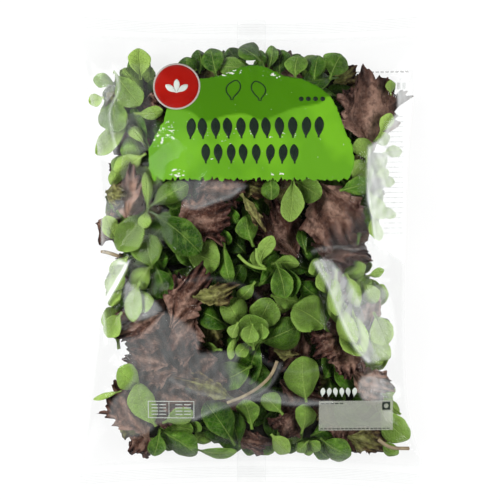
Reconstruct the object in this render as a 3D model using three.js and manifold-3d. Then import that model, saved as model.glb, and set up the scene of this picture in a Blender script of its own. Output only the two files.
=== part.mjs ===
// A 100 g pillow bag of mixed salad leaves, lying on its back with the printed side up.
// Millimetres, +Z up. X runs across the bag and Y along it, towards the top seal.
// The origin is on the table, under the middle of the bag's box.
//
// The bag is one closed solid: a filled tube of clear film with a flat seal across each end.
// Where leaves press against the upper film their shapes stand out of it, each one fused on.
import * as THREE from "three";
import { mergeVertices } from "three/addons/utils/BufferGeometryUtils.js";
import Module from "manifold-3d";

// Driving dimensions of the bag
const FLAT_HALF_WIDTH = 113; // half the width of the flat tube, as the seals keep it
const SEAM_HEIGHT = 24; // height of the side creases over the table at the middle
const SEAL_HEIGHT = 9; // height of the end seals over the table
const RISE = 37; // crown of the upper film over the side creases
const DROP = 31; // depth of the lower film under them, before the table flattens it
const FILM_HALF_THICKNESS = 0.4; // half the thickness of a seal, two sheets with crimping
const BAG_HUE = 0x5f8f3c;

// How far each side is drawn in at its waist, and how that fades towards the two ends
const WAIST_LEFT = { depth: 17, y: -15, up: 150, down: 138, upPower: 3, downPower: 1.5 };
const WAIST_RIGHT = { depth: 12, y: -12, up: 150, down: 124, upPower: 2.6, downPower: 5 };

// Each seal: where it starts at the middle of the bag, how deep it is there, how far its inner
// line and its cut edge run on towards the corners, and the droop of its edge
const TOP_SEAL = { start: 137, depth: 13.5, startFlare: 3.5, edgeFlare: 5.5, droop: 2.5 };
const BOTTOM_SEAL = { start: 137, depth: 14.5, startFlare: 4.5, edgeFlare: 3.5, droop: 3 };
const SEAL_WAVE = { height: 1.3, count: 2.5 }; // the slow wave of a loose seal
const PUCKER = { height: 1.3, count: 4.5, reach: 0.3 }; // pleats that run from a seal into the body

// Mesh steps of the film
const STEPS_ALONG = 24;
const STEPS_ACROSS = 20;
const STEPS_SEAL = 2;
const CROWDING = 1.2; // how far rows and columns crowd towards the seals and the side creases

// Slow swells of the upper film: height, then waves across and along the bag, and a phase
const SWELLS = [
  { height: 1.5, across: 1.3, along: 1.1, phase: 0.6 },
  { height: 1.2, across: -1.9, along: 1.6, phase: 2.1 },
  { height: 0.9, across: 2.7, along: 2.4, phase: 4.0 },
];

// The y where the film passes from body to seal at u, from -1 at the left edge to 1
function sealStart(seal, u) {
  return seal.start + seal.startFlare * u * u;
}

function waistPull(waist, y) {
  const reach = y > waist.y ? waist.up : waist.down;
  const power = y > waist.y ? waist.upPower : waist.downPower;
  const share = Math.min(1, Math.abs(y - waist.y) / reach);
  return waist.depth * (1 - share ** power);
}

function leftEdge(y) {
  return -FLAT_HALF_WIDTH + waistPull(WAIST_LEFT, y);
}

function rightEdge(y) {
  return FLAT_HALF_WIDTH - waistPull(WAIST_RIGHT, y);
}

// Plan position of the film at (u, s): s runs from -1 to 1 over the body, and on through a seal
// to -2 or 2 at its cut edge
function plan(u, s) {
  const top = sealStart(TOP_SEAL, u);
  const bottom = -sealStart(BOTTOM_SEAL, u);
  const inBody = THREE.MathUtils.clamp(s, -1, 1);
  let y = (top + bottom) / 2 + (inBody * (top - bottom)) / 2;
  const seal = s > 0 ? TOP_SEAL : BOTTOM_SEAL;
  const past = Math.max(0, Math.abs(s) - 1);
  y += Math.sign(s) * past * (seal.depth + seal.edgeFlare * Math.abs(u) ** 3);
  const left = leftEdge(y);
  return [left + ((u + 1) / 2) * (rightEdge(y) - left), y];
}

// The film coordinates of a plan position inside the body
function filmCoordinates(x, y) {
  const left = leftEdge(y);
  const u = (2 * (x - left)) / (rightEdge(y) - left) - 1;
  const top = sealStart(TOP_SEAL, u);
  const bottom = -sealStart(BOTTOM_SEAL, u);
  return [u, (2 * y - top - bottom) / (top - bottom)];
}

// Share of the bag's full thickness at (u, s): 0 along the creases and seals, 1 at the crown
function plumpness(u, s) {
  const across = Math.max(0, 1 - Math.abs(u) ** 2.5);
  const along = Math.max(0, 1 - Math.abs(s) ** 3.2);
  return across ** 0.62 * along ** 0.6;
}

function seamHeight(s) {
  const inBody = Math.min(1, Math.abs(s));
  return SEAM_HEIGHT + (SEAL_HEIGHT - SEAM_HEIGHT) * inBody ** 2.4;
}

function sealBend(u, s) {
  const past = Math.max(0, Math.abs(s) - 1);
  const seal = s > 0 ? TOP_SEAL : BOTTOM_SEAL;
  const wave = SEAL_WAVE.height * Math.cos(SEAL_WAVE.count * Math.PI * u + Math.sign(s));
  return past * (wave - seal.droop);
}

function swell(u, s) {
  return SWELLS.reduce(
    (sum, w) => sum + w.height * Math.cos(Math.PI * (w.across * u + w.along * s) + w.phase),
    0,
  );
}

// Pleats that start at a seal, are deepest a little inside it and fade out in the body
function pucker(u, s) {
  const share = THREE.MathUtils.clamp((Math.abs(s) - 1 + PUCKER.reach) / PUCKER.reach, 0, 1);
  const fade = Math.sin(Math.PI * share ** 2) * (1 - u ** 4);
  return PUCKER.height * fade * Math.cos(PUCKER.count * Math.PI * u + Math.sign(s));
}

function upperFilm(u, s) {
  const crown = plumpness(u, s) * (RISE + swell(u, s));
  return seamHeight(s) + sealBend(u, s) + crown + pucker(u, s) + FILM_HALF_THICKNESS;
}

function lowerFilm(u, s) {
  const depth = DROP * plumpness(u, s);
  return Math.max(0, seamHeight(s) + sealBend(u, s) - depth - FILM_HALF_THICKNESS);
}

// A closed slab between two height functions over a grid of plan points.
// at(i, j) gives [x, y, high, low] for i of the columns and j of the rows.
function slab(columns, rows, at) {
  const positions = [];
  const index = [];
  const count = (columns + 1) * (rows + 1);
  const number = (i, j) => j * (columns + 1) + i;
  for (const level of [2, 3]) {
    for (let j = 0; j <= rows; j++) {
      for (let i = 0; i <= columns; i++) {
        const point = at(i, j);
        positions.push(point[0], point[1], point[level]);
      }
    }
  }
  const quad = (a, b, c, d) => index.push(a, b, c, a, c, d);
  for (let j = 0; j < rows; j++) {
    for (let i = 0; i < columns; i++) {
      const [a, b, c, d] = [number(i, j), number(i + 1, j), number(i + 1, j + 1), number(i, j + 1)];
      quad(a, b, c, d);
      quad(a + count, d + count, c + count, b + count);
    }
  }
  for (let i = 0; i < columns; i++) {
    quad(number(i, 0) + count, number(i + 1, 0) + count, number(i + 1, 0), number(i, 0));
    quad(number(i, rows), number(i + 1, rows), number(i + 1, rows) + count, number(i, rows) + count);
  }
  for (let j = 0; j < rows; j++) {
    quad(number(0, j), number(0, j + 1), number(0, j + 1) + count, number(0, j) + count);
    quad(
      number(columns, j) + count,
      number(columns, j + 1) + count,
      number(columns, j + 1),
      number(columns, j),
    );
  }
  const geometry = new THREE.BufferGeometry();
  geometry.setAttribute("position", new THREE.Float32BufferAttribute(positions, 3));
  geometry.setIndex(index);
  return geometry;
}

// Moves an even step from -1 to 1 towards the nearer end
function crowd(share) {
  return Math.sin(share * CROWDING) / Math.sin(CROWDING);
}

// Rows of s: an even run through each seal, and rows that crowd towards the seals in the body
function rowPositions() {
  const rows = [];
  for (let k = 0; k < STEPS_SEAL; k++) rows.push(-2 + k / STEPS_SEAL);
  for (let k = 0; k <= STEPS_ALONG; k++) rows.push(crowd((2 * k) / STEPS_ALONG - 1));
  for (let k = 1; k <= STEPS_SEAL; k++) rows.push(1 + k / STEPS_SEAL);
  return rows;
}

function filledTube() {
  const rows = rowPositions();
  return slab(STEPS_ACROSS, rows.length - 1, (i, j) => {
    const u = crowd((2 * i) / STEPS_ACROSS - 1);
    const [x, y] = plan(u, rows[j]);
    return [x, y, upperFilm(u, rows[j]), lowerFilm(u, rows[j])];
  });
}

// Leaves that press on the upper film: [base x, base y, tip x, tip y, width], in millimetres.
// Lamb's lettuce first: spoon-shaped leaves, most of them in rosettes that share a base.
const LAMBS_LETTUCE = [
  // top left corner
  [-70, 110, -72, 131, 15],
  [-88, 116, -70, 93, 18],
  [-86, 107, -101, 111, 10],
  [-87, 99, -85, 76, 19],
  // rosette beside the print
  [-64, 65, -75, 92, 9],
  [-64, 65, -83, 64, 15],
  [-79, 64, -88, 51, 10],
  // along the top, over the print
  [-38, 110, -41, 125, 14],
  [-21, 112, -25, 131, 14],
  [1, 118, -20, 119, 13],
  [8, 122, -6, 132, 13],
  [12, 116, 15, 133, 8],
  [30, 110, 32, 126, 15],
  [52, 110, 60, 127, 18],
  [58, 112, 35, 108, 15],
  // right of the print
  [66, 44, 78, 56, 15],
  [59, 32, 77, 40, 12],
  // under the print
  [8, 47, 8, 31, 22],
  [27, 47, 25, 19, 15],
  [27, 46, 42, 36, 15],
  // rosette at the left of the middle
  [-65, 27, -39, 32, 14],
  [-65, 27, -41, -3, 21],
  [-65, 27, -79, -3, 18],
  [-65, 27, -66, 42, 7],
  [-71, -9, -60, 10, 18],
  [-62, -9, -69, -25, 13],
  [-58, -12, -56, -32, 16],
  // rosette at the middle
  [-44, -8, -22, -8, 21],
  [-15, 5, -19, -22, 10],
  [7, -12, 0, 19, 14],
  [7, -12, 13, 8, 10],
  [26, -8, 22, -38, 19],
  [46, -32, 36, -20, 11],
  [50, -53, 30, -36, 23],
  [48, -16, 41, -8, 12],
  // the round head below the middle
  [-1, -62, -12, -34, 17],
  [1, -62, 9, -32, 18],
  [2, -66, -1, -44, 17],
  [8, -64, 32, -50, 22],
  [-13, -36, -32, -50, 17],
  [-11, -65, -26, -63, 15],
  [9, -70, -14, -88, 16],
  [36, -99, 34, -69, 21],
  // right edge
  [60, -18, 74, -12, 12],
  [54, -32, 53, -12, 9],
  [80, -42, 88, -61, 15],
  [66, -55, 91, -69, 10],
  // left edge and lower left
  [-80, -64, -92, -39, 15],
  [-74, -91, -79, -74, 17],
  [-60, -114, -69, -87, 17],
  [-58, -116, -63, -131, 13],
  [-58, -116, -36, -131, 14],
  // along the bottom
  [-4, -130, -23, -98, 20],
  [7, -113, -6, -97, 15],
  [34, -119, 36, -100, 14],
  [17, -118, 27, -132, 12],
  [48, -121, 62, -133, 17],
  [84, -123, 98, -106, 17],
];

// Frilled red lettuce, in the same form
const RED_LETTUCE = [
  [82, 68, 79, 119, 36],
  [43, 41, 67, 4, 36],
  [-51, 12, -15, 20, 28],
  [-77, 19, -77, 53, 16],
  [33, 1, 13, 14, 20],
  [-42, -13, -9, -26, 13],
  [-55, -48, -87, -49, 20],
  [-32, -93, -77, -62, 34],
  [-64, -118, -89, -101, 28],
  [85, -74, 40, -58, 20],
  [52, -95, 91, -90, 20],
  [1, -121, 1, -134, 26],
];

// Mesh steps of a leaf by its width
const NARROW_LEAF = 16;
const NARROW_STEPS = { along: 5, across: 2 };
const WIDE_STEPS = { along: 6, across: 4 };
const FRILLED_STEPS = { along: 8, across: 4 };

// How far a leaf stands out of the film, and how far its solid reaches into the bag
const LEAF_STAND = 1.9;
const LEAF_EDGE = 1;
const LEAF_SINK = 2.4;
const MIDRIB_GROOVE = 0.6;
const RUFFLE = { height: 0.7, waves: 3.5, skew: 3 }; // the frill along a red leaf's edges

// Half width of a spoon-shaped leaf at t, from 0 at the foot of its stalk to 1 at its round tip
function spoonProfile(t) {
  const blade = THREE.MathUtils.clamp((t - 0.12) / 0.88, 0, 1);
  return 0.1 + 0.9 * Math.sin(Math.PI * blade ** 1.25) ** 0.62;
}

// Half width of a fan-shaped leaf that widens to a ragged end
function fanProfile(t) {
  const lobes = 1 + 0.13 * Math.cos(5.5 * Math.PI * t);
  return (0.14 + 0.86 * Math.sin(Math.PI * t ** 1.5 * 0.86) ** 0.8) * lobes;
}

// A leaf pressed against the film from below, as a thin solid that follows it.
// relief(t, q) is how far it stands out, with q from -1 to 1 across the leaf.
function leafOnFilm([baseX, baseY, tipX, tipY, width], steps, profile, relief) {
  const axis = new THREE.Vector2(tipX - baseX, tipY - baseY);
  const side = new THREE.Vector2(-axis.y, axis.x).normalize();
  return slab(steps.across, steps.along, (i, j) => {
    const q = (2 * i) / steps.across - 1;
    const t = j / steps.along;
    const half = (width / 2) * profile(t);
    const x = baseX + axis.x * t - side.x * q * half;
    const y = baseY + axis.y * t - side.y * q * half;
    const film = upperFilm(...filmCoordinates(x, y));
    return [x, y, film + relief(t, q), film - LEAF_SINK];
  });
}

function spoonLeaf(row) {
  const steps = row[4] < NARROW_LEAF ? NARROW_STEPS : WIDE_STEPS;
  return leafOnFilm(row, steps, spoonProfile, (t, q) => {
    const groove = q === 0 && steps === WIDE_STEPS ? MIDRIB_GROOVE : 0;
    return LEAF_EDGE + (LEAF_STAND - LEAF_EDGE) * (1 - q * q) - groove;
  });
}

function frilledLeaf(row) {
  return leafOnFilm(row, FRILLED_STEPS, fanProfile, (t, q) => {
    const wave = Math.sin(2 * Math.PI * RUFFLE.waves * t + RUFFLE.skew * q);
    return LEAF_STAND + RUFFLE.height * q * q * wave;
  });
}

const wasm = await Module();
wasm.setup();

function solidFrom(geometry) {
  const merged = mergeVertices(geometry, 1e-4);
  return new wasm.Manifold(
    new wasm.Mesh({
      numProp: 3,
      vertProperties: new Float32Array(merged.attributes.position.array),
      triVerts: new Uint32Array(merged.index.array),
    }),
  );
}

function geometryFrom(solid) {
  const mesh = solid.getMesh();
  const geometry = new THREE.BufferGeometry();
  geometry.setAttribute("position", new THREE.BufferAttribute(new Float32Array(mesh.vertProperties), 3));
  geometry.setIndex(new THREE.BufferAttribute(new Uint32Array(mesh.triVerts), 1));
  geometry.computeVertexNormals();
  return geometry;
}

const leaves = [...LAMBS_LETTUCE.map(spoonLeaf), ...RED_LETTUCE.map(frilledLeaf)];
const bagSolid = leaves.reduce((bag, leaf) => bag.add(solidFrom(leaf)), solidFrom(filledTube()));

const film = new THREE.MeshStandardMaterial({ color: BAG_HUE, roughness: 0.2, metalness: 0 });
const bag = new THREE.Mesh(geometryFrom(bagSolid), film);
bag.name = "salad_bag";

const model = new THREE.Group();
model.add(bag);
export default model;
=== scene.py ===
"""A clear pillow bag of mixed salad leaves: its film, its prints and the leaves inside."""
import logging
import math
from dataclasses import dataclass, field
from enum import Enum
from typing import Any, Callable, Iterable, Sequence

import bpy
import numpy as np
from bpy.types import Material, Node, NodeSocket, Object
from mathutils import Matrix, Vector
from mathutils.geometry import delaunay_2d_cdt


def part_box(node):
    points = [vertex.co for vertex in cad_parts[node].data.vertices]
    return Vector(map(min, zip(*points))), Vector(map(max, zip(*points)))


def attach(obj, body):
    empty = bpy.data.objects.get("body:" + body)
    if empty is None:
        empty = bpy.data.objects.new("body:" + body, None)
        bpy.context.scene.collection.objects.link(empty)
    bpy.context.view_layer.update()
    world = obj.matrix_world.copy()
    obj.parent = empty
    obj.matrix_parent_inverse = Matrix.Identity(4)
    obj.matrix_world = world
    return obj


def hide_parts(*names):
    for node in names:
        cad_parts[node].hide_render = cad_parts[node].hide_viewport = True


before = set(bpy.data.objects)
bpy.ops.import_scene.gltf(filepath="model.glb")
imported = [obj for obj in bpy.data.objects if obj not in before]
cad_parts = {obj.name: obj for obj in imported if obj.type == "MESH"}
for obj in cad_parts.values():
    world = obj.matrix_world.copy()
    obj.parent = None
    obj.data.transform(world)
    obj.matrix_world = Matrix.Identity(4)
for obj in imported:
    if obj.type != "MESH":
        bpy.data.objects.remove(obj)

MM = 0.001
NODE = "salad_bag"
BODY = "root"
FILM_SLOT = "clear_film"
SEED = 11
log = logging.getLogger("salad_bag")

Array = np.ndarray
Point = tuple[float, float]
Outline = Sequence[Point]
Colour = tuple[float, float, float, float]
Waves = tuple[tuple[float, float, float], ...]
WHITE: Colour = (1.0, 1.0, 1.0, 1.0)


def linear(part: int) -> float:
    """Give the linear share of one display level from 0 to 255."""
    share = part / 255
    return share / 12.92 if share <= 0.04045 else ((share + 0.055) / 1.055) ** 2.4


def srgb(red: int, green: int, blue: int) -> Colour:
    """Turn a display colour into the linear colour that a shader takes.

    Args:
        red: red from 0 to 255.
        green: green from 0 to 255.
        blue: blue from 0 to 255.

    Returns:
        The linear colour with an alpha of 1.
    """
    return linear(red), linear(green), linear(blue), 1.0


def smoothstep(low: float, high: float, value: Array) -> Array:
    """Rise smoothly from 0 at low to 1 at high."""
    share = np.clip((value - low) / (high - low), 0, 1)
    return share * share * (3 - 2 * share)


def add_object(name: str, data: bpy.types.ID) -> Object:
    """Put an object with the given data in the scene."""
    made = bpy.data.objects.new(name, data)
    bpy.context.scene.collection.objects.link(made)
    return made


class Value:
    """A shader socket that adds Math nodes where it is used in an expression."""

    def __init__(self, shade: "Shade", socket: NodeSocket) -> None:
        """Keep the socket and the material it belongs to."""
        self.shade = shade
        self.socket = socket

    def math(self, operation: str, *others: "Value | float") -> "Value":
        """Add one Math node, with the others after this value in its inputs."""
        inputs = dict(enumerate((self, *others)))
        node = self.shade.node("ShaderNodeMath", {"operation": operation}, inputs)
        return Value(self.shade, node.outputs[0])

    def reflected(self, operation: str, first: float) -> "Value":
        """Add one Math node whose first input is a plain number."""
        node = self.shade.node("ShaderNodeMath", {"operation": operation}, {0: first, 1: self})
        return Value(self.shade, node.outputs[0])

    def __add__(self, other: "Value | float") -> "Value":
        """Add."""
        return self.math("ADD", other)

    __radd__ = __add__

    def __sub__(self, other: "Value | float") -> "Value":
        """Subtract."""
        return self.math("SUBTRACT", other)

    def __rsub__(self, other: float) -> "Value":
        """Subtract from a number."""
        return self.reflected("SUBTRACT", other)

    def __mul__(self, other: "Value | float") -> "Value":
        """Multiply."""
        return self.math("MULTIPLY", other)

    __rmul__ = __mul__

    def __truediv__(self, other: "Value | float") -> "Value":
        """Divide."""
        return self.math("DIVIDE", other)

    def __rtruediv__(self, other: float) -> "Value":
        """Divide a number."""
        return self.reflected("DIVIDE", other)

    def __pow__(self, other: float) -> "Value":
        """Raise to a power."""
        return self.math("POWER", other)

    def __neg__(self) -> "Value":
        """Turn the sign."""
        return self * -1.0

    def size(self) -> "Value":
        """Give the value without its sign."""
        return self.math("ABSOLUTE")

    def fraction(self) -> "Value":
        """Give what is left after the whole number."""
        return self.math("FRACT")

    def held(self, low: float = 0.0, high: float = 1.0) -> "Value":
        """Hold the value between two numbers."""
        return self.math("MAXIMUM", low).math("MINIMUM", high)

    def rise(self, low: float, high: float) -> "Value":
        """Map low to 0 and high to 1, held at both ends."""
        return ((self - low) * (1.0 / (high - low))).held()


class NodeTree:
    """A node tree under construction."""

    def __init__(self, tree: bpy.types.NodeTree) -> None:
        """Keep the tree."""
        self.tree = tree

    def source(self, given: Any) -> Any:
        """Give the socket or the plain value that an input takes."""
        return given.socket if isinstance(given, Value) else given

    def node(
        self,
        kind: str,
        settings: dict[str, Any] | None = None,
        inputs: dict[int | str, Any] | None = None,
    ) -> Node:
        """Add a node of any type.

        Args:
            kind: the node's type name.
            settings: properties set before the inputs.
            inputs: values or links by socket name or number.

        Returns:
            The node.
        """
        node = self.tree.nodes.new(kind)
        for key, setting in (settings or {}).items():
            setattr(node, key, setting)
        for key, given in (inputs or {}).items():
            source = self.source(given)
            if isinstance(source, NodeSocket):
                self.tree.links.new(source, node.inputs[key])
            else:
                node.inputs[key].default_value = source
        return node


class Shade(NodeTree):
    """A material under construction."""

    def __init__(self, name: str) -> None:
        """Start an empty node tree under the material's name."""
        self.material = bpy.data.materials.new(name)
        self.material.use_nodes = True
        super().__init__(self.material.node_tree)
        self.tree.nodes.clear()

    def value(self, kind: str, output: int | str = 0, **parts: Any) -> Value:
        """Add a node from its settings and inputs, and give one of its outputs as a value."""
        node = self.node(kind, parts.get("settings"), parts.get("inputs"))
        return Value(self, node.outputs[output])

    def place(self) -> Value:
        """Give the object coordinates, in metres."""
        return self.value("ShaderNodeTexCoord", "Object")

    def noise(self, scale: float, detail: float = 2.0, stretch: Sequence[float] = (1, 1, 1)) -> Value:
        """Give a noise from 0 to 1 over the object; scale is in features for each metre."""
        placed = self.value("ShaderNodeMapping", inputs={"Vector": self.place(), "Scale": stretch})
        inputs = {"Vector": placed, "Scale": scale, "Detail": detail}
        return self.value("ShaderNodeTexNoise", inputs=inputs)

    def attribute(self, name: str) -> Value:
        """Give a number that the mesh holds at its points."""
        return self.value("ShaderNodeAttribute", "Fac", settings={"attribute_name": name})

    def leaf_map(self) -> tuple[Value, Value]:
        """Give the place on a leaf: from -1 to 1 across it, and from 0 to 1 along it."""
        flat = self.value("ShaderNodeUVMap", settings={"uv_map": "leaf"})
        parts = self.node("ShaderNodeSeparateXYZ", None, {0: flat})
        return Value(self, parts.outputs[0]) * 2.0 - 1.0, Value(self, parts.outputs[1])

    def mix(self, factor: Value | float, first: Any, second: Any) -> Value:
        """Mix two colours or their sockets; the factor is the share of the second."""
        inputs = {"Factor": factor, 6: first, 7: second}
        return self.value("ShaderNodeMix", 2, settings={"data_type": "RGBA"}, inputs=inputs)

    def layered(self, base: Any, *layers: tuple[Value, Colour]) -> Any:
        """Lay colours over a base, each with its cover."""
        for cover, over in layers:
            base = self.mix(cover, base, over)
        return base

    def bump(self, height: Value, depth: float, strength: float) -> Value:
        """Turn a height into a normal; depth is in metres."""
        inputs = {"Height": height, "Distance": depth, "Strength": strength}
        return self.value("ShaderNodeBump", inputs=inputs)

    def blend(self, factor: Value, first: Node, second: Node) -> Node:
        """Mix two surfaces; the factor is the share of the second."""
        inputs = {0: factor, 1: first.outputs[0], 2: second.outputs[0]}
        return self.node("ShaderNodeMixShader", None, inputs)

    def coat(
        self, colour: Any, roughness: float, gloss: float = 0.5, normal: Value | None = None
    ) -> Node:
        """Add an opaque surface."""
        inputs = {"Base Color": colour, "Roughness": roughness, "Specular IOR Level": gloss}
        if normal is not None:
            inputs["Normal"] = normal
        return self.node("ShaderNodeBsdfPrincipled", None, inputs)

    def finish(self, surface: Node) -> Material:
        """Join the surface to the output and give the material."""
        self.node("ShaderNodeOutputMaterial", None, {"Surface": surface.outputs[0]})
        return self.material


@dataclass(frozen=True)
class GreenLeafFinish:
    """Fresh lamb's lettuce: pale midrib, fine veins and a soft shine, with painted light and shade by leaf
    and painted shade in its low parts.
    """

    name: str = "green_leaf"
    deep: Colour = srgb(28, 68, 2)
    fresh: Colour = srgb(69, 119, 15)
    pale: Colour = srgb(162, 193, 94)
    shade: Colour = srgb(9, 26, 0)
    rib: Colour = srgb(150, 176, 88)
    roughness: float = 0.42
    gloss: float = 0.1
    patch_scale: float = 55.0
    mottle_scale: float = 170.0
    net_scale: float = 380.0
    grain_scale: float = 420.0
    rib_foot: float = 0.75
    rib_taper: float = 0.45
    vein_count: float = 6.0
    vein_slant: float = 0.28
    mottle_cover: float = 0.25
    edge_cover: float = 0.2
    net_cover: float = 0.14
    vein_cover: float = 0.28
    tone_cover: float = 0.95
    fold_shade_cover: float = 0.45
    rib_cover: float = 0.5
    relief: float = 0.0006

    def build(self) -> Material:
        """Build the material."""
        s = Shade(self.name)
        side, along = s.leaf_map()
        across = side.size()
        tone = s.attribute("tone")
        rib = (1.0 - across * s.attribute("half") / (self.rib_foot - self.rib_taper * along)).held()
        wave = ((along - across * self.vein_slant) * self.vein_count).fraction() - 0.5
        vein = (wave.size() * 2.0).rise(0.86, 1.0) * (1.0 - across).rise(0.0, 0.6)
        mottle = s.noise(self.mottle_scale, 4.0)
        patches = s.noise(self.patch_scale, 2.0)
        net = s.value(
            "ShaderNodeTexVoronoi",
            settings={"feature": "DISTANCE_TO_EDGE"},
            inputs={"Vector": s.place(), "Scale": self.net_scale},
        )
        lines = 1.0 - net.rise(0.02, 0.14)
        colour = s.layered(
            s.mix((mottle * 0.6 + patches * 0.4).rise(0.4, 0.62), self.deep, self.fresh),
            (mottle.rise(0.54, 0.72) * self.mottle_cover, self.pale),
            (across.rise(0.75, 1.0) * self.edge_cover, self.pale),
            (lines * self.net_cover, self.rib),
            (vein * self.vein_cover, self.rib),
            # Painted light and shade by leaf, from its tone, which also lightens the midrib
            (tone.held() * self.tone_cover, self.pale),
            ((-tone).held() * self.tone_cover, self.shade),
            # Painted shade in the leaf's low parts
            (s.attribute("low").held() * self.fold_shade_cover, self.shade),
            (rib * (self.rib_cover + tone * 0.3).held(), self.rib),
        )
        height = s.noise(self.grain_scale, 2.0) - vein * 0.5 - rib - lines * 0.5
        normal = s.bump(height, self.relief, 0.8)
        return s.finish(s.coat(colour, self.roughness, self.gloss, normal))


@dataclass(frozen=True)
class RedLeafFinish:
    """Frilled lettuce whose dark edges fade to a paler middle with light ribs, with painted highlights on
    its ridges, painted shade in its folds, and painted light and shade by leaf.
    """

    name: str
    heart: Colour
    edge: Colour
    rib: Colour
    shade: Colour = srgb(28, 13, 10)
    blotch: Colour = srgb(36, 19, 17)
    margin: Colour = srgb(58, 27, 21)
    # colour of the painted shade in the folds
    fold: Colour = srgb(26, 13, 10)
    roughness: float = 0.5
    gloss: float = 0.12
    mottle_scale: float = 150.0
    blotch_scale: float = 300.0
    fine_scale: float = 520.0
    ray_count: float = 3.0
    midrib_steepness: float = 9.0
    ridge_steepness: float = 2.2
    ridge_highlight_cover: float = 0.7
    ray_cover: float = 0.55
    pale_cover: float = 0.75
    shade_cover: float = 0.85
    blotch_cover: float = 0.5
    fine_cover: float = 0.42
    margin_cover: float = 0.5
    fold_shade_cover: float = 0.88
    relief: float = 0.0009

    def build(self) -> Material:
        """Build the material."""
        s = Shade(self.name)
        side, along = s.leaf_map()
        across = side.size()
        tone = s.attribute("tone")
        low = s.attribute("low").held()
        mottle = s.noise(self.mottle_scale, 3.0)
        blotch = s.noise(self.blotch_scale, 4.0)
        fine = s.noise(self.fine_scale, 3.0)
        rim = (across * 0.3 + along * 0.7 + mottle * 0.8 - 0.6).rise(0.1, 0.65)
        rays = ((side * self.ray_count + mottle * 0.9 + along * 0.4).fraction() - 0.5).size() * 2.0
        rays = rays.rise(0.84, 1.0) * (1.0 - along).rise(0.05, 0.6)
        midrib = (1.0 - across * self.midrib_steepness).held() * (1.0 - along * 0.8)
        rays = rays.math("MAXIMUM", midrib)
        # Painted highlight on the tops of the folds, where the leaf lies least deep
        ridge = (1.0 - low * self.ridge_steepness).held() * (1.0 - along * 0.4)
        outer = along.math("MAXIMUM", across * (0.5 + along * 0.5)).rise(0.8, 0.97)
        colour = s.layered(
            s.mix(rim, self.heart, self.edge),
            (ridge * self.ridge_highlight_cover, self.rib),
            (rays * self.ray_cover, self.rib),
            # Painted light and shade by leaf, from its tone
            (tone.held() * self.pale_cover, self.rib),
            ((-tone).held() * self.shade_cover, self.shade),
            (blotch.rise(0.46, 0.62) * self.blotch_cover, self.blotch),
            (fine.rise(0.54, 0.68) * self.fine_cover, self.rib),
            (outer * self.margin_cover, self.margin),
            # Painted shade in the folds
            (low.rise(0.25, 0.85) * self.fold_shade_cover, self.fold),
        )
        normal = s.bump(fine * 0.6 + blotch - rays * 0.4, self.relief, 0.8)
        return s.finish(s.coat(colour, self.roughness, self.gloss, normal))


@dataclass(frozen=True)
class MottledFinish:
    """A surface of two close tones, such as a stalk, an ink or the heart of the pile, which is painted
    shade.
    """

    name: str
    first: Colour
    second: Colour
    scale: float = 200.0
    roughness: float = 0.5
    relief: float = 0.0002
    gloss: float = 0.15

    def build(self) -> Material:
        """Build the material."""
        s = Shade(self.name)
        mottle = s.noise(self.scale, 3.0)
        colour = s.mix(mottle.rise(0.35, 0.65), self.first, self.second)
        return s.finish(s.coat(colour, self.roughness, self.gloss, s.bump(mottle, self.relief, 0.5)))


@dataclass(frozen=True)
class BrushedInkFinish:
    """Green ink, lighter where a reflection of the lamps in the film is painted on it, with pale flecks
    where it is worn.
    """

    name: str = "green_ink"
    deep: Colour = srgb(58, 110, 0)
    light: Colour = srgb(86, 142, 24)
    bright: Colour = srgb(108, 168, 30)
    fleck: Colour = srgb(212, 210, 204)
    roughness: float = 0.5
    gloss: float = 0.1
    cloud_scale: float = 34.0
    fleck_scale: float = 420.0
    grain_scale: float = 900.0
    wear: float = 0.17
    relief: float = 0.0001

    def build(self) -> Material:
        """Build the material."""
        s = Shade(self.name)
        cloud = s.noise(self.cloud_scale, 2.0)
        grain = s.noise(self.grain_scale, 3.0, (1.0, 1.8, 1.0))
        flecks = s.noise(self.fleck_scale, 3.0, (1.0, 1.7, 1.0))
        # Painted reflection: lighter copies of the ink where the film reflects the lamps
        reflected_ink = s.mix(cloud.rise(0.42, 0.6) * 0.7, self.light, self.bright)
        colour = s.layered(
            s.mix(s.attribute("lit"), self.deep, reflected_ink),
            (grain.rise(0.3, 0.8) * 0.12, self.bright),
            ((flecks + s.attribute("worn") * self.wear).rise(0.735, 0.755), self.fleck),
        )
        return s.finish(s.coat(colour, self.roughness, self.gloss, s.bump(grain, self.relief, 0.3)))


@dataclass(frozen=True)
class ThinInkFinish:
    """White ink that lets some of what lies under it show."""

    name: str
    ink: Colour
    cover: float
    dull: Colour = srgb(150, 152, 146)
    roughness: float = 0.5
    grain_scale: float = 150.0
    uneven: float = 0.1

    def build(self) -> Material:
        """Build the material."""
        s = Shade(self.name)
        grain = s.noise(self.grain_scale, 3.0)
        colour = s.mix(grain.rise(0.35, 0.65) * 0.3, self.ink, self.dull)
        ink = s.coat(colour, self.roughness)
        bare = s.node("ShaderNodeBsdfTransparent")
        cover = grain.rise(0.0, 0.6) * self.uneven + (self.cover - self.uneven)
        return s.finish(s.blend(cover, bare, ink))


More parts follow.
